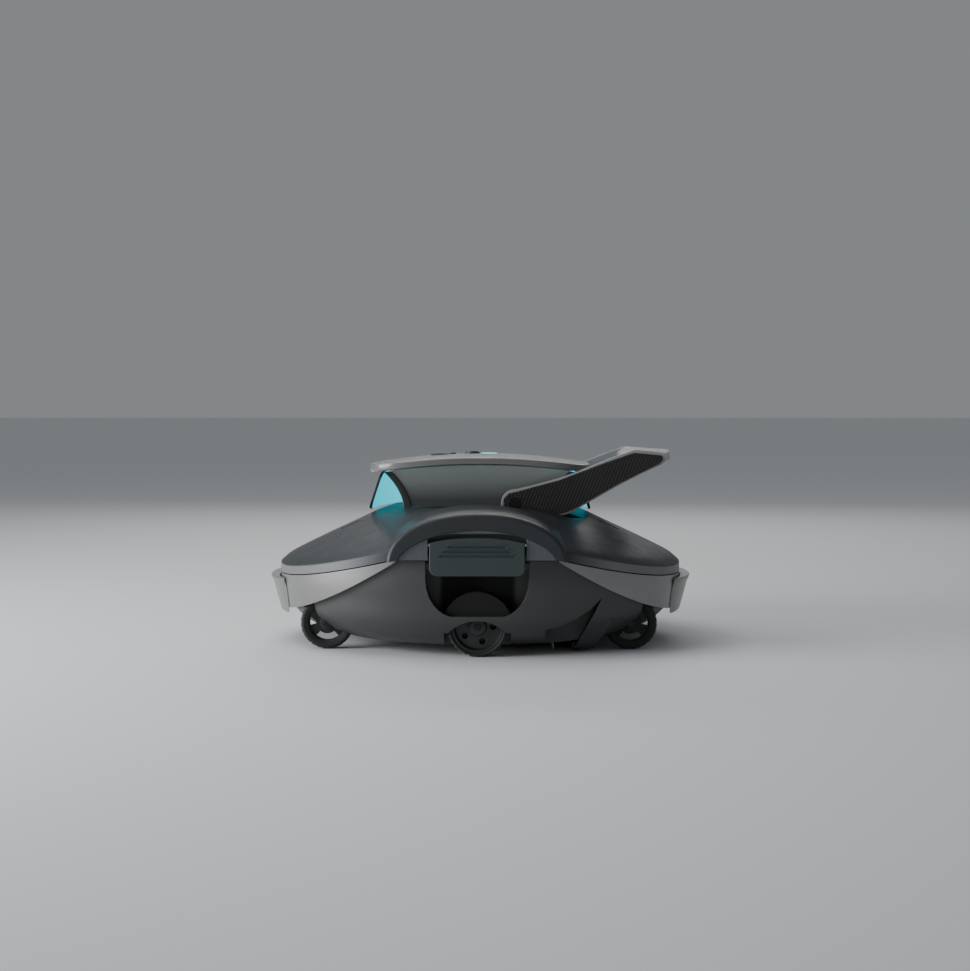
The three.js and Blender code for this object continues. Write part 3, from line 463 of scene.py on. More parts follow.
for s in (-1, 1):
    cut(hull, block("suction_slot", (min(s * 30, s * 58), -70, 0), (max(s * 30, s * 58), 70, 20)))
cut(hull, seam_slab("above_the_rim", -1.0, None))
for s in (-1, 1):
    near, far = sorted((s * 168, s * 174.5))
    join(hull, block("catch_bar", (-48, near, 81), (48, far, 87)))
dress(hull, charcoal)
fit(hull, "base", "charcoal_hull", "lower_hull")

# ---- Side bands ----
# A lacquered trim band wraps each end of the tub and tapers away towards the latches. It is clipped on over
# the hull, so its lower edge stands proud with a thin shadow under it.

BAND_A = 197
BAND_B = 184

pewter = moulded(
    "pewter_lacquer",
    (0.24, 0.237, 0.234),
    0.36,
    grain=0.012,
    grain_scale=2600,
    edge=0.4,
    metal=0.55,
    cloudy=0.03,
)


def oval_rings(rows):
    """A ring of (x, y, z) points on the machine's plan for each (z, a, b) row."""
    return [[(x, y, z) for x, y in oval(a, b, PLAN_POWER)] for z, a, b in rows]


def band_low_z(x):
    s = min(1.0, max(0.0, (abs(x) - SEAM_ARCH_X) / (190 - SEAM_ARCH_X)))
    return 34 + (SEAM_SIDE_Z - 2 - 34) * (1 - s) ** 1.35


for end, way in (("front", -1), ("rear", 1)):
    face = ((20, BAND_A - 7, BAND_B - 6), (68, BAND_A, BAND_B - 0.5), (100, BAND_A + 0.5, BAND_B))
    band = skin(f"band_trim_{end}", oval_rings(smooth_rows(face, 8)))
    hole = [(15, 187.2, 177.9), (52, 187.4, 177.4), (68, 190.4, 179.4), (101, 190.4, 180.4)]
    cut(band, skin("band_hole", oval_rings(smooth_rows(hole, 4))))
    xs = np.concatenate([np.linspace(74, 190, 30), [230]])
    upper = [(way * x, seam_z(x) - 0.5) for x in xs]
    lower = [(way * x, min(band_low_z(x), seam_z(x) - 1.5)) for x in reversed(xs)]
    keep_inside(band, prism("band_outline", upper + lower, -250, 250))
    dress(band, pewter)
    fit(band, "base", "pewter_band", f"band_{end}")

# ---- Bumpers ----
# A curved guard pad on the middle of each end takes the knocks against the pool wall. It leans in towards its
# foot and has a small lip along the top.

BUMPER_HALF = 79
BUMPER_TOP = 64
BUMPER_FOOT = 29

for end, way in (("front", -1), ("rear", 1)):
    rings = []
    for y in np.linspace(-BUMPER_HALF, BUMPER_HALF, 61):
        plan = BAND_A * (1 - abs(y / BAND_B) ** PLAN_POWER) ** (1 / PLAN_POWER)
        out = 2.5 + 8.5 * math.cos(math.pi / 2 * y / BUMPER_HALF * 0.9999) ** 0.6

        def lean(z, d):
            return way * (plan + d - 9 * (BUMPER_TOP - z) / (BUMPER_TOP - BUMPER_FOOT))

        ring = [(lean(BUMPER_FOOT, 1.2), y, BUMPER_FOOT)]
        ring.append((lean(BUMPER_FOOT, max(out - 3, 1.6)), y, BUMPER_FOOT))
        for z, back in ((29.6, 2), (31, 1.2), (40, 1), (52, 0.9), (58, 0.9), (59.2, 0.3)):
            ring.append((lean(z, max(out - back, 1.7)), y, z))
        for z, d in ((60, out), (63.2, out), (64, out - 0.8), (64, 1.2)):
            ring.append((lean(z, d), y, z))
        rings.append(ring)
    pad = skin(f"bumper_pad_{end}", rings)
    rows = ((10, 188.6, 176.3), (20, 190.9, 178.9), (68, 197.9, 184.5), (110, 198.3, 184.8))
    cut(pad, skin("band_space", oval_rings(rows)))
    dress(pad, pewter)
    fit(pad, "base", "pewter_band", f"bumper_{end}")

# ---- Side wheels ----
# One wheel stands in the middle of each side: a moulded hub with round holes through its web and a soft tyre
# with cross grooves, on a steel stub axle in the hull.

SIDE_TYRE = 4
GROOVES = 30

black = moulded("black_plastic", (0.022, 0.022, 0.023), 0.45, edge=0.35)


def turned(name, profile, centre, steps=72):
    """A ring-shaped body: a closed (radius, y) profile spun about an axis along Y through centre."""
    deselect()
    bpy.ops.mesh.primitive_circle_add(vertices=len(profile), fill_type="NOTHING", location=(0, 0, 0))
    piece = bpy.context.object
    piece.name = name
    places = [((centre[0] + r) * MM, (centre[1] + y) * MM, centre[2] * MM) for r, y in profile]
    piece.data.vertices.foreach_set("co", np.array(places).ravel())
    bpy.ops.object.mode_set(mode="EDIT")
    bpy.ops.mesh.select_all(action="SELECT")
    middle = [c * MM for c in centre]
    bpy.ops.mesh.spin(steps=steps, angle=2 * math.pi, center=middle, axis=(0, 1, 0))
    bpy.ops.object.mode_set(mode="OBJECT")
    close_and_turn_out(piece)
    return piece


def ring_of(name, make, count, centre):
    """One body of count copies of make(i), each turned further about an axis along Y through centre."""
    copies = []
    for i in range(count):
        one = make(i)
        pick(one)
        turn = 2 * math.pi * i / count
        bpy.ops.object.mode_set(mode="EDIT")
        bpy.ops.mesh.select_all(action="SELECT")
        bpy.ops.transform.rotate(value=turn, orient_axis="Y", center_override=[c * MM for c in centre])
        bpy.ops.object.mode_set(mode="OBJECT")
        copies.append(one)
    deselect()
    for one in copies:
        one.select_set(True)
    bpy.context.view_layer.objects.active = copies[0]
    bpy.ops.object.join()
    copies[0].name = name
    return copies[0]


def rubber_finish(name, colour, rough):
    """Soft black rubber: dull, dusty in patches and finely pitted."""
    m = moulded(name, colour, rough, grain=0.25, grain_scale=900, edge=0.25, soft_edge=0.0005)
    shader = m.node_tree.nodes["Principled BSDF"]
    shader.inputs["Sheen Weight"].default_value = 0.12
    shader.inputs["Sheen Roughness"].default_value = 0.5
    return m


rubber = rubber_finish("black_rubber", (0.01, 0.01, 0.01), 0.72)

for side, s in (("left", -1), ("right", 1)):
    at = (0, s * SIDE_WHEEL_Y, SIDE_WHEEL_R)
    rim = SIDE_WHEEL_R - SIDE_TYRE
    hub = turned(f"hub_{side}", [
        (3.05, -7), (6.6, -7), (7.6, -6.4), (8.4, -2.6),
        (rim - 3.6, -2), (rim - 2.2, -5.6), (rim - 1.4, -6.5), (rim, -6.5),
        (rim, 6.5), (rim - 1.4, 6.5), (rim - 2.2, 5.6), (rim - 3.6, 2),
        (8.4, 2.6), (7.6, 6.4), (6.6, 7), (3.05, 7),
    ], at)
    through = (at[1] - 8, at[1] + 8)
    holes = ring_of("hub_holes", lambda i: rod("hole", 2.9, through, "Y", (14.2, at[2]), 32), 5, at)
    cut(hub, holes)
    dress(hub, black)
    fit(hub, f"side_wheel_{side}", "black_plastic", f"side_hub_{side}")
    low = SIDE_WHEEL_R - SIDE_TYRE + 0.2
    tyre = turned(f"tyre_{side}", [
        (low, -6.5), (SIDE_WHEEL_R - 2, -7.8), (SIDE_WHEEL_R - 0.8, -7.4), (SIDE_WHEEL_R, -6),
        (SIDE_WHEEL_R, 6), (SIDE_WHEEL_R - 0.8, 7.4), (SIDE_WHEEL_R - 2, 7.8), (low, 6.5),
    ], at, 120)
    half_groove = (SIDE_WHEEL_R - 1.3, SIDE_WHEEL_R + 2)
    groove_low = (half_groove[0], at[1] - 9, at[2] - 0.7)
    groove_high = (half_groove[1], at[1] + 9, at[2] + 0.7)
    grooves = ring_of("grooves", lambda i: block("groove", groove_low, groove_high), GROOVES, at)
    cut(tyre, grooves)
    dress(tyre, rubber)
    fit(tyre, f"side_wheel_{side}", "black_rubber", f"side_tyre_{side}")

# ---- End wheels ----
# Four narrow guide wheels, two at each end: one soft moulding with a thick grooved rim, a small hub and a web
# with three crescent windows.

for end, sx in (("front", -1), ("rear", 1)):
    for side, sy in (("left", -1), ("right", 1)):
        at = (sx * END_WHEEL_X, sy * END_WHEEL_Y, END_WHEEL_R)
        wheel = turned(f"guide_wheel_{end}_{side}", [
            (3.05, -5), (5.4, -5), (6, -4.4), (6.6, -2), (17, -2), (17.8, -4.4), (21.5, -5.8), (23, -5.6),
            (24.4, -4.6), (25, -3), (25, 3), (24.4, 4.6), (23, 5.6), (21.5, 5.8), (17.8, 4.4), (17, 2),
            (6.6, 2), (6, 4.4), (5.4, 5), (3.05, 5),
        ], at, 96)
        crescent = []
        for radius, turns in ((16.4, np.linspace(-40, 40, 17)), (10.6, np.linspace(38, -38, 17))):
            for turn in np.radians(turns):
                crescent.append((at[0] + radius * math.sin(turn), at[2] - radius * math.cos(turn)))
        cut(wheel, ring_of("windows", lambda i: prism("window", crescent, at[1] - 8, at[1] + 8), 3, at))
        grooves = ring_of("grooves", lambda i: block(
            "groove", (at[0] + 24.1, at[1] - 9, at[2] - 0.6), (at[0] + 27, at[1] + 9, at[2] + 0.6)), 28, at)
        cut(wheel, grooves)
        dress(wheel, rubber)
        fit(wheel, f"end_wheel_{end}_{side}", "black_rubber", f"wheel_{end}_{side}")

# ---- Axles and pins ----
# Plain stainless rod, cut to length and pressed in. The wheel axles and the handle's headed pins show at
# their ends, so those get a dark steel: painted shade, as the axle ends sit in the shade of the wheels.


def stainless(name):
    """Drawn stainless rod with fine lines along it."""
    m = moulded(name, (0.48, 0.49, 0.5), 0.3, grain=0.15, grain_scale=700, edge=0.2, metal=1.0)
    m.node_tree.nodes["Principled BSDF"].inputs["Anisotropic"].default_value = 0.3
    return m


steel = stainless("stainless_rod")
# Dark steel: painted shade on the axle ends.
shade_dark_steel = moulded(
    "dark_steel_painted_shade", (0.03, 0.03, 0.032), 0.4, grain=0.1, grain_scale=700, edge=0.3, metal=0.8,
)


def repaint(material, *node_names):
    """A new finish on CAD nodes that keep their own mesh."""
    for name in node_names:
        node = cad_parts[name]
        node.data.materials.clear()
        node.data.materials.append(material)


ends = [f"{end}_{side}" for end in ("front", "rear") for side in ("left", "right")]
repaint(shade_dark_steel, "side_axle_left", "side_axle_right", *[f"axle_{e}" for e in ends])
repaint(steel, "inlet_flap_pin_front", "inlet_flap_pin_rear", "flow_flap_pin")
repaint(steel, "latch_pin_left", "latch_pin_right")

# ---- Underside ----
# Under the floor of the hull: a shoe that keeps the suction close to the ground, a pale wiper strip, and a
# rubber flap over each suction slot that keeps the dirt in.

pale = moulded("pale_plastic", (0.6, 0.62, 0.63), 0.45, edge=0.2)
shoe_low, shoe_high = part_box("suction_skirt")
shoe = block("suction_shoe", [v / MM for v in shoe_low], [v / MM for v in shoe_high])
pick(shoe)
bpy.ops.object.mode_set(mode="EDIT")
bpy.ops.mesh.select_all(action="DESELECT")
bpy.ops.object.mode_set(mode="OBJECT")
for edge in shoe.data.edges:
    a, b = (shoe.data.vertices[i].co for i in edge.vertices)
    edge.select = abs(a.z - shoe_low.z) < 1e-6 and abs(b.z - shoe_low.z) < 1e-6 and a.x > 0.1 and b.x > 0.1
bpy.ops.object.mode_set(mode="EDIT")
bpy.ops.mesh.bevel(offset=0.0045, offset_type="OFFSET", segments=4)
bpy.ops.object.mode_set(mode="OBJECT")
dress(shoe, charcoal)
fit(shoe, "base", "charcoal_hull", "suction_skirt")
repaint(pale, "wiper_blade")
repaint(rubber, "inlet_flap_front", "inlet_flap_rear")

# ---- Filter ----
# A flat frame of pale plastic lies across the tub. It holds a fine woven cloth that the water is drawn
# through.


def woven(name, colour, pitch):
    """A fine plain weave: two sets of threads that pass over and under each other."""
    m = bpy.data.materials.new(name)
    m.use_nodes = True
    nodes = m.node_tree.nodes
    link = m.node_tree.links.new
    shader = nodes["Principled BSDF"]
    shader.inputs["Roughness"].default_value = 0.8
    where = nodes.new("ShaderNodeTexCoord")
    threads = []
    for way in ("X", "Y"):
        wave = nodes.new("ShaderNodeTexWave")
        wave.bands_direction = way
        wave.inputs["Scale"].default_value = 0.314 / pitch
        wave.inputs["Distortion"].default_value = 0.3
        link(where.outputs["Object"], wave.inputs["Vector"])
        threads.append(wave.outputs["Fac"])
    over = nodes.new("ShaderNodeMath")
    over.operation = "MAXIMUM"
    link(threads[0], over.inputs[0])
    link(threads[1], over.inputs[1])
    tone = nodes.new("ShaderNodeMix")
    tone.data_type = "RGBA"
    tone.inputs["A"].default_value = (*[c * 0.35 for c in colour], 1)
    tone.inputs["B"].default_value = (*colour, 1)
    link(over.outputs[0], tone.inputs["Factor"])
    link(tone.outputs["Result"], shader.inputs["Base Color"])
    bump = nodes.new("ShaderNodeBump")
    bump.inputs["Strength"].default_value = 0.6
    bump.inputs["Distance"].default_value = 0.0004
    link(over.outputs[0], bump.inputs["Height"])
    link(bump.outputs["Normal"], shader.inputs["Normal"])
    return m


repaint(pale, "filter_frame")
repaint(woven("filter_cloth", (0.74, 0.78, 0.78), 0.0012), "filter_mesh")

# ---- Pump, battery and control box ----
# These sit on the inner floor of the upper housing: the pump's motor hangs in the duct over its impeller,
# with a battery pack on each side and the electronics in a sealed box behind.


def shrink_wrap(name, colour):
    """Glossy shrink film over cells: smooth, tight and a little wrinkled."""
    m = moulded(name, colour, 0.22, grain=0.5, grain_scale=120, edge=0.2, coat=0.5)
    return m


repaint(black, "inner_floor", "pump_duct", "control_box", "junction_box", "flow_flap")
repaint(steel, "pump_motor")
repaint(pale, "impeller")
repaint(shrink_wrap("battery_film", (0.05, 0.13, 0.3)), "battery_left", "battery_right")

# ---- Upper housing ----
# The domed cover: one 3 mm moulding with a flat deck for the cabin, a raised arch over each latch, a gutter
# for each arm of the handle and four drain slots on the slopes. Its upright lip is painted paler, a painted
# light near the tone of the bands.

LIP_HEIGHT = 9.5
LIP_ROWS = ((60, 197, 184), (76.4, 197, 184), (77.4, 196.7, 183.8), (77.9, 196.2, 183.4))
SLOPE_ROWS = (
    (77.9, 196.2, 183.4),
    (83.5, 189.5, 178),
    (100, 157, 152),
    (115, 125, 124),
    (126, 101, 101),
    (131, 86, 88),
)
GUTTER = (17, 118, 64.5, 80, 121)
ARCH_HALF = 82
ARCH_TOP = 132
ARCH_FACE_Y = 187
WINDOW_HALF = 72
WINDOW_TOP = 118

graphite = moulded("graphite_shell", (0.02, 0.025, 0.028), 0.5, grain=0.05, edge=0.35, soft_edge=0.0006)


def paint_lip_light(material, colour):
    """The upright lip round the dome is painted paler where it faces sideways, a painted light like the tone
    of the bands below it.
    """
    nodes = material.node_tree.nodes
    link = material.node_tree.links.new
    facing = nodes.new("ShaderNodeSeparateXYZ")
    link(nodes.new("ShaderNodeNewGeometry").outputs["True Normal"], facing.inputs[0])
    place = nodes.new("ShaderNodeSeparateXYZ")
    link(nodes["Texture Coordinate"].outputs["Object"], place.inputs[0])

    def sized(socket, start, end):
        size = nodes.new("ShaderNodeMath")
        size.operation = "ABSOLUTE"
        link(socket, size.inputs[0])
        step = nodes.new("ShaderNodeMapRange")
        step.inputs["From Min"].default_value = start
        step.inputs["From Max"].default_value = end
        link(size.outputs[0], step.inputs["Value"])
        return step.outputs["Result"]

    # Upright faces outside the arches and below 100 mm get the paler colour: painted light.
    inside = sized(facing.outputs["Z"], 0.3, 0.15)
    for step in (sized(place.outputs["X"], 0.08, 0.125), sized(place.outputs["Z"], 0.1, 0.098)):
        both = nodes.new("ShaderNodeMath")
        both.operation = "MULTIPLY"
        link(inside, both.inputs[0])
        link(step, both.inputs[1])
        inside = both.outputs[0]
    paint = nodes.new("ShaderNodeMix")
    paint.data_type = "RGBA"
    paint.inputs["B"].default_value = (*colour, 1)
    shader = nodes["Principled BSDF"]
    link(shader.inputs["Base Color"].links[0].from_socket, paint.inputs["A"])
    link(inside, paint.inputs["Factor"])
    link(paint.outputs["Result"], shader.inputs["Base Color"])


# The lip's painted light.
paint_lip_light(graphite, (0.15, 0.155, 0.16))


def dome_rings(inset, drop):
    """The dome from its foot to the deck; its upright lip keeps an even height over the seam."""
    rings = []
    for z, a, b in list(LIP_ROWS) + smooth_rows(SLOPE_ROWS, 6)[1:]:
        ring = []
        share = max(0.0, (z - LIP_ROWS[-1][0]) / (131 - LIP_ROWS[-1][0]))
        for x, y in oval(a - inset, b - inset, PLAN_POWER):
            rise = max(0.0, seam_z(x * LIP_ROWS[0][1] / a) + LIP_HEIGHT - LIP_ROWS[-1][0]) if z > 70 else 0.0
            ring.append((x, y, z + rise * (1 - share) - (drop if z > 79 else 0)))
        rings.append(ring)
    return rings


def arch_body(name, shrink, way):
    """The raised arch over a latch, from under the deck out to its flat face, with a rounded front edge."""
    stations = [(84, 3, 4), (100, 3, 4), (120, 3, 4), (140, 2.6, 3)]
    stations += [(158, 1.5, 1.2), (172, 0.5, 0.3), (180, 0, 0)]
    if shrink:
        stations.append((ARCH_FACE_Y - shrink, -1, -1))
    else:
        for turn in np.linspace(0, math.pi / 2, 7)[1:]:
            back = -4.2 * (1 - math.cos(turn))
            stations.append((182.8 + 4.2 * math.sin(turn), back, back))
    rings = []
    for y, rise, flare in stations:
        half = ARCH_HALF - shrink + flare
        line = arch(half, 86, ARCH_TOP - shrink + rise, 2.2, 64)
        rings.append([(x, way * y, z) for x, z in [*line, (-half, 60), (half, 60)]])
    return skin(name, rings)


shell = skin("housing_shell", dome_rings(0, 0))
join(shell, arch_body("arch_left", 0, -1), arch_body("arch_right", 0, 1))
cavity = skin("housing_room", dome_rings(3, 3))
join(cavity, arch_body("arch_room_left", 3, -1), arch_body("arch_room_right", 3, 1))
x0, x1, y0, y1, z0 = GUTTER
for s in (-1, 1):
    near, far = sorted((s * (y0 - 3), s * (y1 + 3)))
    cut(cavity, block("gutter_wall", (x0 - 3, near, z0 - 3), (x1 + 3, far, 200)))
cut(shell, cavity)
for s in (-1, 1):
    near, far = sorted((s * y0, s * y1))
    cut(shell, block("gutter", (x0, near, z0), (x1, far, 200)))


def window_line(grow):
    return arch(WINDOW_HALF + grow, 89, WINDOW_TOP + grow, 1.75, 56)


opening = [*window_line(0), (-WINDOW_HALF, 50), (WINDOW_HALF, 50)]
cut(shell, *both_sides(lambda s: prism("latch_window", opening, s * 178, s * 210)))
for sx in (-1, 1):
    for sy in (-1, 1):
        slot = block("drain_slot", (sx * 126 - 8, sy * 38 - 2.6, 90), (sx * 126 + 8, sy * 38 + 2.6, 140))
        join(slot, rod("slot_end", 2.6, (90, 140), "Z", (sx * 126 - 8, sy * 38), 32))
        join(slot, rod("slot_end", 2.6, (90, 140), "Z", (sx * 126 + 8, sy * 38), 32))
        cut(shell, slot)
cut(shell, rod("duct_hole", 27.4, (100, 145), "Z", (0, 0), 96))
cut(shell, seam_slab("below_the_seam", None, 0.5))
dress(shell, graphite)
fit(shell, "upper_housing", "graphite_shell", "top_shell")

# ---- Latches ----
# Each latch is a curved lever that hangs on a steel pin in its surround; fingers in the pocket below pull its
# foot out. The surround fills the rest of the arch's opening and is set back a little.

LATCH_HALF = 43
LATCH_FACE_Y = 187.6
PIN_Y = 181
PIN_Z = 104
LATCH_LINE = (
    (-43, 106), (-36, 107.6), (-27, 109.2), (-14, 110.4), (0, 110.8),
    (14, 110.4), (27, 109.2), (36, 107.6), (43, 106),
    (43, 83), (42.4, 79.8), (40.4, 77.4), (37, 76), (-37, 76), (-40.4, 77.4), (-42.4, 79.8), (-43, 83),
)

slate = moulded("slate_plastic", (0.036, 0.048, 0.05), 0.42, grain=0.05, edge=0.4)
pale_slate = moulded("surround_plastic", (0.085, 0.098, 0.102), 0.42, grain=0.05, edge=0.4)


def soften(piece, width, segments=3, angle=40):
    """Rounds every edge sharper than angle."""
    pick(piece)
    round_off = piece.modifiers.new("round_off", "BEVEL")
    round_off.width = width * MM
    round_off.segments = segments
    round_off.limit_method = "ANGLE"
    round_off.angle_limit = math.radians(angle)
    round_off.use_clamp_overlap = True
    bpy.ops.object.modifier_apply(modifier=round_off.name)


for side, s in (("left", -1), ("right", 1)):
    foot = SEAM_SIDE_Z + 0.2
    open_half = LATCH_HALF + 1.5
    wide = [(x, z) for x, z in window_line(2.6) if z >= foot]
    wide = [(WINDOW_HALF + 2.2, foot), *wide, (-WINDOW_HALF - 2.2, foot)]
    tight = [(x, z) for x, z in window_line(-0.5) if z >= foot]
    tight = [(WINDOW_HALF - 0.8, foot), *tight, (-WINDOW_HALF + 0.8, foot)]
    surround = prism(f"latch_frame_{side}", wide, s * 183.6, s * 180.6)
    join(surround, prism("frame_face", tight, s * 184.8, s * 183))
    left_edge = [(-open_half, 60), (-open_half, 111.4), (-22, 114.2)]
    right_edge = [(22, 114.2), (open_half, 111.4), (open_half, 60)]
    room_line = left_edge + right_edge
    cut(surround, prism("latch_room", room_line, s * 170, s * 200))
    web = prism("frame_web", wide, s * 178.9, s * 176)
    inner, outer = sorted((s * 170, s * 200))
    cut(web, block("web_room", (-open_half, inner, foot + 4), (open_half, outer, 130)))
    near, far, back = s * 178, s * 174, s * 171.6
    stop = block("back_stop", (-open_half - 2, min(far, back), 104), (open_half + 2, max(far, back), 118))
    for x in (-open_half - 2, open_half + 0.2):
        join(stop, block("stop_arm", (x, min(near, back), 104), (x + 1.8, max(near, back), 118)))
    join(surround, web, stop)
    for x in (-1, 1):
        inner, outer = sorted((x * open_half, x * (open_half + 3)))
        cheek_low, cheek_high = sorted((s * 176, s * 184))
        join(surround, block("pin_cheek", (inner, cheek_low, foot), (outer, cheek_high, 112)))
    cut(surround, rod("pin_hole", 1.65, (-60, 60), "X", (s * PIN_Y, PIN_Z), 32))
    dress(surround, pale_slate)
    fit(surround, "upper_housing", "slate_plastic", f"latch_surround_{side}")

    lever = prism(f"latch_lever_{side}", LATCH_LINE, s * LATCH_FACE_Y, s * (LATCH_FACE_Y - 4))
    soften(lever, 0.9)
    for i, z in enumerate((104.2, 100.1, 95.9)):
        half = 26 + 4 * i
        join(lever, rod("thumb_rib", 0.8, (-half, half), "X", (s * LATCH_FACE_Y, z), 24))
        cut(lever, rod("thumb_groove", 0.95, (-half, half), "X", (s * (LATCH_FACE_Y + 0.1), z - 1.8), 24))
    join(lever, rod("knuckle", 3.4, (-42.5, 42.5), "X", (s * PIN_Y, PIN_Z), 48))
    rib = block("catch_rib", (-24, min(s * 175, s * 185), 78), (24, max(s * 175, s * 185), 80.4))
    lip_low, lip_high = sorted((s * 175, s * 177.4))
    join(lever, rib, block("catch_lip", (-24, lip_low, 79), (24, lip_high, 84)))
    cut(lever, rod("pin_hole", 1.65, (-60, 60), "X", (s * PIN_Y, PIN_Z), 32))
    dress(lever, slate)
    fit(lever, f"latch_lever_{side}", "slate_plastic", f"latch_{side}")

# ---- Cabin walls ----
# A waisted glossy panel closes each side of the cabin between the deck and the roof. Its ends curve away to
# leave the jet nozzles open, with a dark edging on each. A boss at the rear holds the handle's pin.

cabin_gloss = moulded(
    "cabin_gloss", (0.04, 0.044, 0.046), 0.3, grain=0.015, grain_scale=2600, edge=0.35, coat=0.3, cloudy=0.05,
)


def paint_light_above(material, low, high, colour):
    """A painted light: the colour of a material drifts towards another one between two heights in
    millimetres.
    """
    nodes = material.node_tree.nodes
    link = material.node_tree.links.new
    place = nodes.new("ShaderNodeSeparateXYZ")
    link(nodes["Texture Coordinate"].outputs["Object"], place.inputs[0])
    height = nodes.new("ShaderNodeMapRange")
    height.inputs["From Min"].default_value = low * MM
    height.inputs["From Max"].default_value = high * MM
    link(place.outputs["Z"], height.inputs["Value"])
    paint = nodes.new("ShaderNodeMix")
    paint.data_type = "RGBA"
    paint.inputs["B"].default_value = (*colour, 1)
    shader = nodes["Principled BSDF"]
    link(shader.inputs["Base Color"].links[0].from_socket, paint.inputs["A"])
    link(height.outputs["Result"], paint.inputs["Factor"])
    link(paint.outputs["Result"], shader.inputs["Base Color"])


# The cabin walls are painted paler towards the roof: painted light on their upper part.
paint_light_above(cabin_gloss, 138, 172, (0.26, 0.29, 0.28))

# The dark edging along each end of a wall, as (along, out) steps from the wall's own corner.
TRIM_SECTION = (
    (-6.6, 0.2), (-6.4, 1.0), (-5.6, 1.4), (-0.4, 1.4), (0.4, 1.0),
    (0.6, 0.2), (0.6, -4.2), (-0.2, -4.4), (-0.2, 0.2),
)


def roof_z(x, y):
    return 182 - 10 * (x / 109) ** 2 - 3 * (y / 63) ** 2


for side, s in (("left", -1), ("right", 1)):
    low = 131.4
    rings = []
    for t in np.linspace(0, 1, 33):
        half = 73 + 19 * t**1.6
        y = 57 + 5 * (0.4 - 2.4 * t * (1 - t))
        xs = np.linspace(-half, half, 41)
        face = [(x, s * y, low + (roof_z(x, y) - 7.1 - low) * t) for x in xs]
        back = [(x, s * (y - 4), z) for x, _, z in reversed(face)]
        rings.append(face + back)
    wall = skin(f"cabin_side_{side}", rings)
    for way in (-1, 1):
        edge_rings = []
        for t in np.linspace(0.0, 1, 33):
            half = 73 + 19 * t**1.6
            y = 57 + 5 * (0.4 - 2.4 * t * (1 - t))
            z = low + (roof_z(half, y) - 7.1 - low) * t
            edge_rings.append([(way * (half + dx), s * (y + dy), z) for dx, dy in TRIM_SECTION])
        trim = skin(f"cabin_trim_{side}_{'front' if way < 0 else 'rear'}", edge_rings)
        dress(trim, black)
        fit(trim, "upper_housing", "cabin_plastic", f"cabin_wall_{side}")
    boss = rod("pin_boss", 8, (s * 61.5, s * 51), "Y", (34, 137.5))
    cut(boss, block("boss_foot", (10, -90, 100), (60, 90, low)))
    join(wall, boss)
    cut(wall, rod("pin_hole", 4.05, (s * 40, s * 90), "Y", (34, 136)))
    dress(wall, cabin_gloss)
    fit(wall, "upper_housing", "cabin_plastic", f"cabin_wall_{side}")

# ---- Jet nozzles ----
# The water leaves through a flared duct of clear aqua plastic at each end of the cabin, edged with a thin
# dark rim that is clipped over its mouth. The duct has a painted glow, paler towards the throat.


def aqua_with_painted_glow(name):
    """Tinted clear plastic with a painted glow: it gives off light though it holds no lamp, paler towards the
    throat.
    """
    m = moulded(name, (0.0, 0.45, 0.6), 0.4, grain=0.02, grain_scale=800, edge=0.1, cloudy=0.04)
    nodes = m.node_tree.nodes
    link = m.node_tree.links.new
    place = nodes.new("ShaderNodeSeparateXYZ")
    link(nodes["Texture Coordinate"].outputs["Object"], place.inputs[0])
    along = nodes.new("ShaderNodeMath")
    along.operation = "ABSOLUTE"
    link(place.outputs["X"], along.inputs[0])
    inwards = nodes.new("ShaderNodeMapRange")
    inwards.inputs["From Min"].default_value = 0.102
    inwards.inputs["From Max"].default_value = 0.066
    link(along.outputs[0], inwards.inputs["Value"])
    glow = nodes.new("ShaderNodeMix")
    glow.data_type = "RGBA"
    glow.inputs["A"].default_value = (0.0, 0.62, 0.78, 1)
    glow.inputs["B"].default_value = (0.04, 0.80, 0.95, 1)
    link(inwards.outputs["Result"], glow.inputs["Factor"])
    shader = nodes["Principled BSDF"]
    # Painted glow: emission, brighter towards the throat.
    link(glow.outputs["Result"], shader.inputs["Emission Color"])
    shader.inputs["Emission Strength"].default_value = 1.15
    shader.inputs["Specular IOR Level"].default_value = 0.2
    shader.inputs["Subsurface Weight"].default_value = 0.1
    shader.inputs["Subsurface Radius"].default_value = (0.004, 0.012, 0.014)
    return m


aqua = aqua_with_painted_glow("aqua_with_painted_glow")


def tilted_ring(way, x, lean, half, low, high, count=96):
    middle = (low + high) / 2
    tall = high - low
    outline = oval(half, tall / 2, 4, count)
    return [(way * (x - lean * (0.5 + z / tall)), y, middle + z) for y, z in outline]


def nozzle_rows(wall, over):
    """[x, lean, half width, low, high] of the duct from its throat to its mouth; over runs past both ends."""
    rows = []
    for f in np.linspace(0, 1, 17):
        wide = 0.3 * f + 0.7 * f**2.4
        rows.append([
            52 + 54 * f, 12 * f, 22 + 27 * wide - wall, 136 - 8 * wide + wall, 158 + 6 * wide**0.7 - wall,
        ])
    rows[0][0] -= over
    rows[-1][0] += over
    return rows


for end, way in (("front", -1), ("rear", 1)):
    duct = skin(f"jet_duct_{end}", [tilted_ring(way, *row) for row in nozzle_rows(0, 0)])
    cut(duct, skin("duct_room", [tilted_ring(way, *row) for row in nozzle_rows(2.5, 1)]))
    dress(duct, aqua)
    fit(duct, "upper_housing", "aqua_plastic", f"jet_nozzle_{end}")
    edge = skin(f"jet_edge_{end}", [tilted_ring(way, x, 12, 49.6 - r, 127.4 + r, 164.6 - r) for x, r in (
        (106.4, 0.3), (106.7, 0), (108.5, 0), (108.9, 0.4))])
    cut(edge, skin("edge_room", [tilted_ring(way, x, 12, 46.5, 130.5, 161.5) for x in (105, 110)]))
    dress(edge, black)
    fit(edge, "upper_housing", "black_plastic", f"nozzle_rim_{end}")

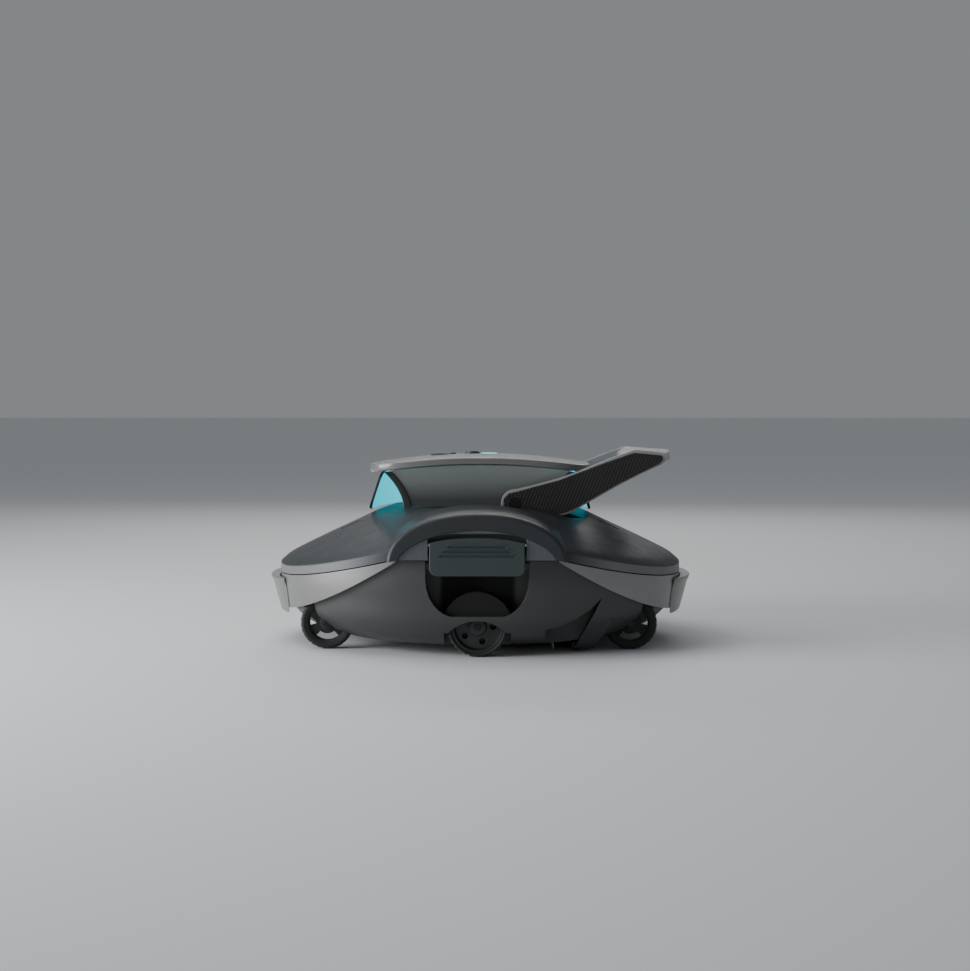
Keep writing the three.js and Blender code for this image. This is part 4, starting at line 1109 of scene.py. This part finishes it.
# ---- Roof ----
# A thin curved cover in gloss plastic closes the cabin. Along its middle sit the power key, a status lamp and
# the rubber cap of the charging socket.

roof_gloss = moulded(
    "roof_gloss", (0.15, 0.146, 0.144), 0.3, grain=0.004, grain_scale=1200, edge=0.5, coat=0.5, cloudy=0.05,
)


def slab_rings(a, b, power, top, bottom, shares):
    up = [[(x, y, top(x, y)) for x, y in oval(a * f, b * f, power)] for f in shares]
    down = [[(x, y, bottom(x, y)) for x, y in oval(a * f, b * f, power)] for f in reversed(shares)]
    return up + down


def under_z(x, y):
    return roof_z(x, y) - 6 - 2 * abs(x / 109) ** 6


shares = [0.1, 0.25, 0.4, 0.55, 0.7, 0.82, 0.91, 0.97, 0.99]
top_rings = slab_rings(109, 63, 4, lambda x, y: roof_z(x, y), under_z, shares)
edge_rings = []
for drop, share in ((0.25, 0.996), (1.0, 0.9998), (2.2, 1.0), (4.6, 1.0), (5.6, 0.9985)):
    edge_rings.append([(x, y, roof_z(x, y) - drop) for x, y in oval(109 * share, 63 * share, 4)])
half_way = len(shares)
roof = skin("roof_panel", top_rings[:half_way] + edge_rings + top_rings[half_way:])
cut(roof, rod("key_hole", 8, (160, 200), "Z", (-8, 0)))
cut(roof, rod("lamp_seat", 8.3, (179.5, 200), "Z", (8.5, 0)))
cut(roof, rod("cap_seat", 11.9, (177.5, 200), "Z", (-38, 0)))
dress(roof, roof_gloss)
fit(roof, "upper_housing", "cabin_plastic", "roof_cover")

key_low, key_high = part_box("power_button")
key = rod("power_key", 7.5, (key_low.z / MM, key_high.z / MM - 0.8), "Z", (-8, 0))
soften(key, 0.6)
join(key, rod("key_ring", 6.3, (key_high.z / MM - 1, key_high.z / MM), "Z", (-8, 0)))
cut(key, rod("key_dish", 4.9, (key_high.z / MM - 0.5, key_high.z / MM + 2), "Z", (-8, 0)))
dress(key, slate)
fit(key, "power_key", "slate_plastic", "power_button")

lamp_low, lamp_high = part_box("status_lamp")
lamp = rod("status_lens", 8, (lamp_low.z / MM, lamp_high.z / MM), "Z", (8.5, 0))
soften(lamp, 0.7)
dress(lamp, aqua)
fit(lamp, "upper_housing", "lamp_lens", "status_lamp")

cap_low, cap_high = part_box("charge_port_cap")
lid_top = roof_z(-38, 0) + 0.6
lid = rod("socket_cap", 11.5, (cap_low.z / MM, lid_top), "Z", (-38, 0))
soften(lid, 0.5)
join(lid, block("cap_tab", (-30, -3, lid_top - 0.4), (-24.2, 3, cap_high.z / MM)))
cut(lid, rod("cap_dish", 7.5, (lid_top - 0.5, lid_top + 3), "Z", (-38, 0)))
dress(lid, rubber)
fit(lid, "charge_cap", "black_rubber", "charge_port_cap")

# ---- Handle ----
# A stiff moulded bail that straddles the cabin: two arms on steel pins and a broad bowed grip. Each arm has a
# ribbed rubber pad on its outer face.

ARM_IN_Y = 66.5
ARM_OUT_Y = 77.5
PIVOT = (34, 136)
UPPER_EDGE = (
    (178, 184.2), (164, 186), (148, 187), (144, 185.5), (130, 180.5),
    (115, 174.5), (96, 166.6), (76, 159.5), (50, 152.5), (36, 149.2),
)
LOWER_EDGE = (
    (60, 122.9), (74, 123.6), (83, 125.2), (91, 128.9), (112, 141),
    (134, 153.5), (155, 164.4), (174, 173), (178.6, 176.4),
)

handle_gloss = moulded("handle_gloss", (0.3, 0.285, 0.285), 0.32, grain=0.03, edge=0.7, coat=0.2)

root = []
for i in range(13):
    t = math.pi / 2 + 0.1 + (math.pi - 0.25) * i / 12
    root.append((PIVOT[0] + 13 * math.cos(t), PIVOT[1] + 13 * math.sin(t)))
arm_line = [*root, *LOWER_EDGE, *UPPER_EDGE]
bail = prism("bail", arm_line, -ARM_OUT_Y, -ARM_IN_Y)
join(bail, prism("far_arm", arm_line, ARM_IN_Y, ARM_OUT_Y))
rings = []
for y in np.linspace(-ARM_OUT_Y, ARM_OUT_Y, 49):
    bow = 9 * (1 - (y / ARM_OUT_Y) ** 2)
    rings.append([(x, y, z) for x, z in (
        (150, 164.5), (162, 168.4), (174, 173), (178.6 + bow, 176.4), (179 + bow, 177.6),
        (178.2 + bow, 183.4 + bow * 0.15), (177 + bow, 184.3 + bow * 0.15), (164 + bow, 186),
        (150 + bow, 187), (147 + bow * 0.8, 186.8), (144 + bow * 0.6, 185.4), (140.6, 181), (140.2, 179.4),
    )])
join(bail, skin("grip", rings))
cut(bail, rod("pin_hole", 4.05, (-90, 90), "Y", PIVOT))
soften(bail, 0.8, 2, 50)
dress(bail, handle_gloss)
fit(bail, "carry_handle", "cabin_plastic", "handle")

rib_rubber = rubber_finish("ribbed_rubber", (0.014, 0.012, 0.012), 0.55)
PAD_LINE = (
    (23, 133), (27, 127), (40, 125.2), (74, 125.4), (82, 127), (90.3, 130.4), (133, 154.6), (172, 173.9),
    (175.5, 177.6), (174.5, 181.8), (149, 184.2), (144.6, 183.2), (115.5, 172.8), (76.5, 158),
    (50, 151), (38, 147.6), (28, 145.2), (23.5, 140),
)
for side, s in (("left", -1), ("right", 1)):
    pad = prism(f"arm_pad_{side}", PAD_LINE, s * 77.9, s * 78.9)
    grooves = []
    for x in np.arange(-4, 170, 3.1):
        slant = [(x, 115), (x + 1.3, 115), (x + 1.3 + 30, 190), (x + 30, 190)]
        grooves.append(prism("pad_groove", slant, s * 78.3, s * 80))
    deselect()
    for groove in grooves:
        groove.select_set(True)
    bpy.context.view_layer.objects.active = grooves[0]
    bpy.ops.object.join()
    cut(pad, grooves[0], rod("head_hole", 6.9, (s * 76, s * 80), "Y", PIVOT))
    dress(pad, rib_rubber)
    fit(pad, "carry_handle", "grip_rubber", f"grip_pad_{side}")
repaint(shade_dark_steel, "handle_pin_left", "handle_pin_right")

# ---- Floor, light and camera ----
# A plain pale floor under soft studio light, seen from low down at the machine's side.

deselect()
bpy.ops.mesh.primitive_plane_add(size=60, location=(0, 0, 0))
floor = bpy.context.object
floor.name = "floor"
paper = bpy.data.materials.new("pale_floor")
paper.use_nodes = True
paper.node_tree.nodes["Principled BSDF"].inputs["Base Color"].default_value = (0.78, 0.79, 0.8, 1)
paper.node_tree.nodes["Principled BSDF"].inputs["Roughness"].default_value = 0.7
floor.data.materials.append(paper)
floor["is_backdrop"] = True

world = bpy.data.worlds.new("soft_room")
bpy.context.scene.world = world
world.use_nodes = True
world.node_tree.nodes["Background"].inputs["Color"].default_value = (0.86, 0.9, 0.93, 1)
world.node_tree.nodes["Background"].inputs["Strength"].default_value = 0.27


def soft_box(name, place, size, watts, tone=(1, 1, 1)):
    lamp_data = bpy.data.lights.new(name, "AREA")
    lamp_data.shape = "RECTANGLE"
    lamp_data.size, lamp_data.size_y = size
    lamp_data.energy = watts
    lamp_data.color = tone
    lamp_object = bpy.data.objects.new(name, lamp_data)
    bpy.context.scene.collection.objects.link(lamp_object)
    lamp_object.location = place
    lamp_object.rotation_euler = (Vector((0, 0, 0.1)) - Vector(place)).to_track_quat("-Z", "Y").to_euler()


soft_box("top_light", (-0.7, 0.2, 1.7), (1.5, 1.2), 13)
soft_box("left_panel", (-1.4, -0.5, 0.4), (1.0, 0.6), 25, (0.97, 0.98, 1))
soft_box("back_light", (0.1, 1.9, 1.1), (1.4, 0.3), 7, (1, 0.97, 0.96))

lens = bpy.data.cameras.new("camera")
lens.sensor_width = 36
lens.lens = 36 * 1800 / 970
camera = bpy.data.objects.new("camera", lens)
bpy.context.scene.collection.objects.link(camera)
camera.location = (0.03, -1.8, 0.23)
aim = Vector((0.0045, 0, 0.1495)) - camera.location
camera.rotation_euler = aim.to_track_quat("-Z", "Y").to_euler()
bpy.context.scene.camera = camera

low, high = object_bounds()
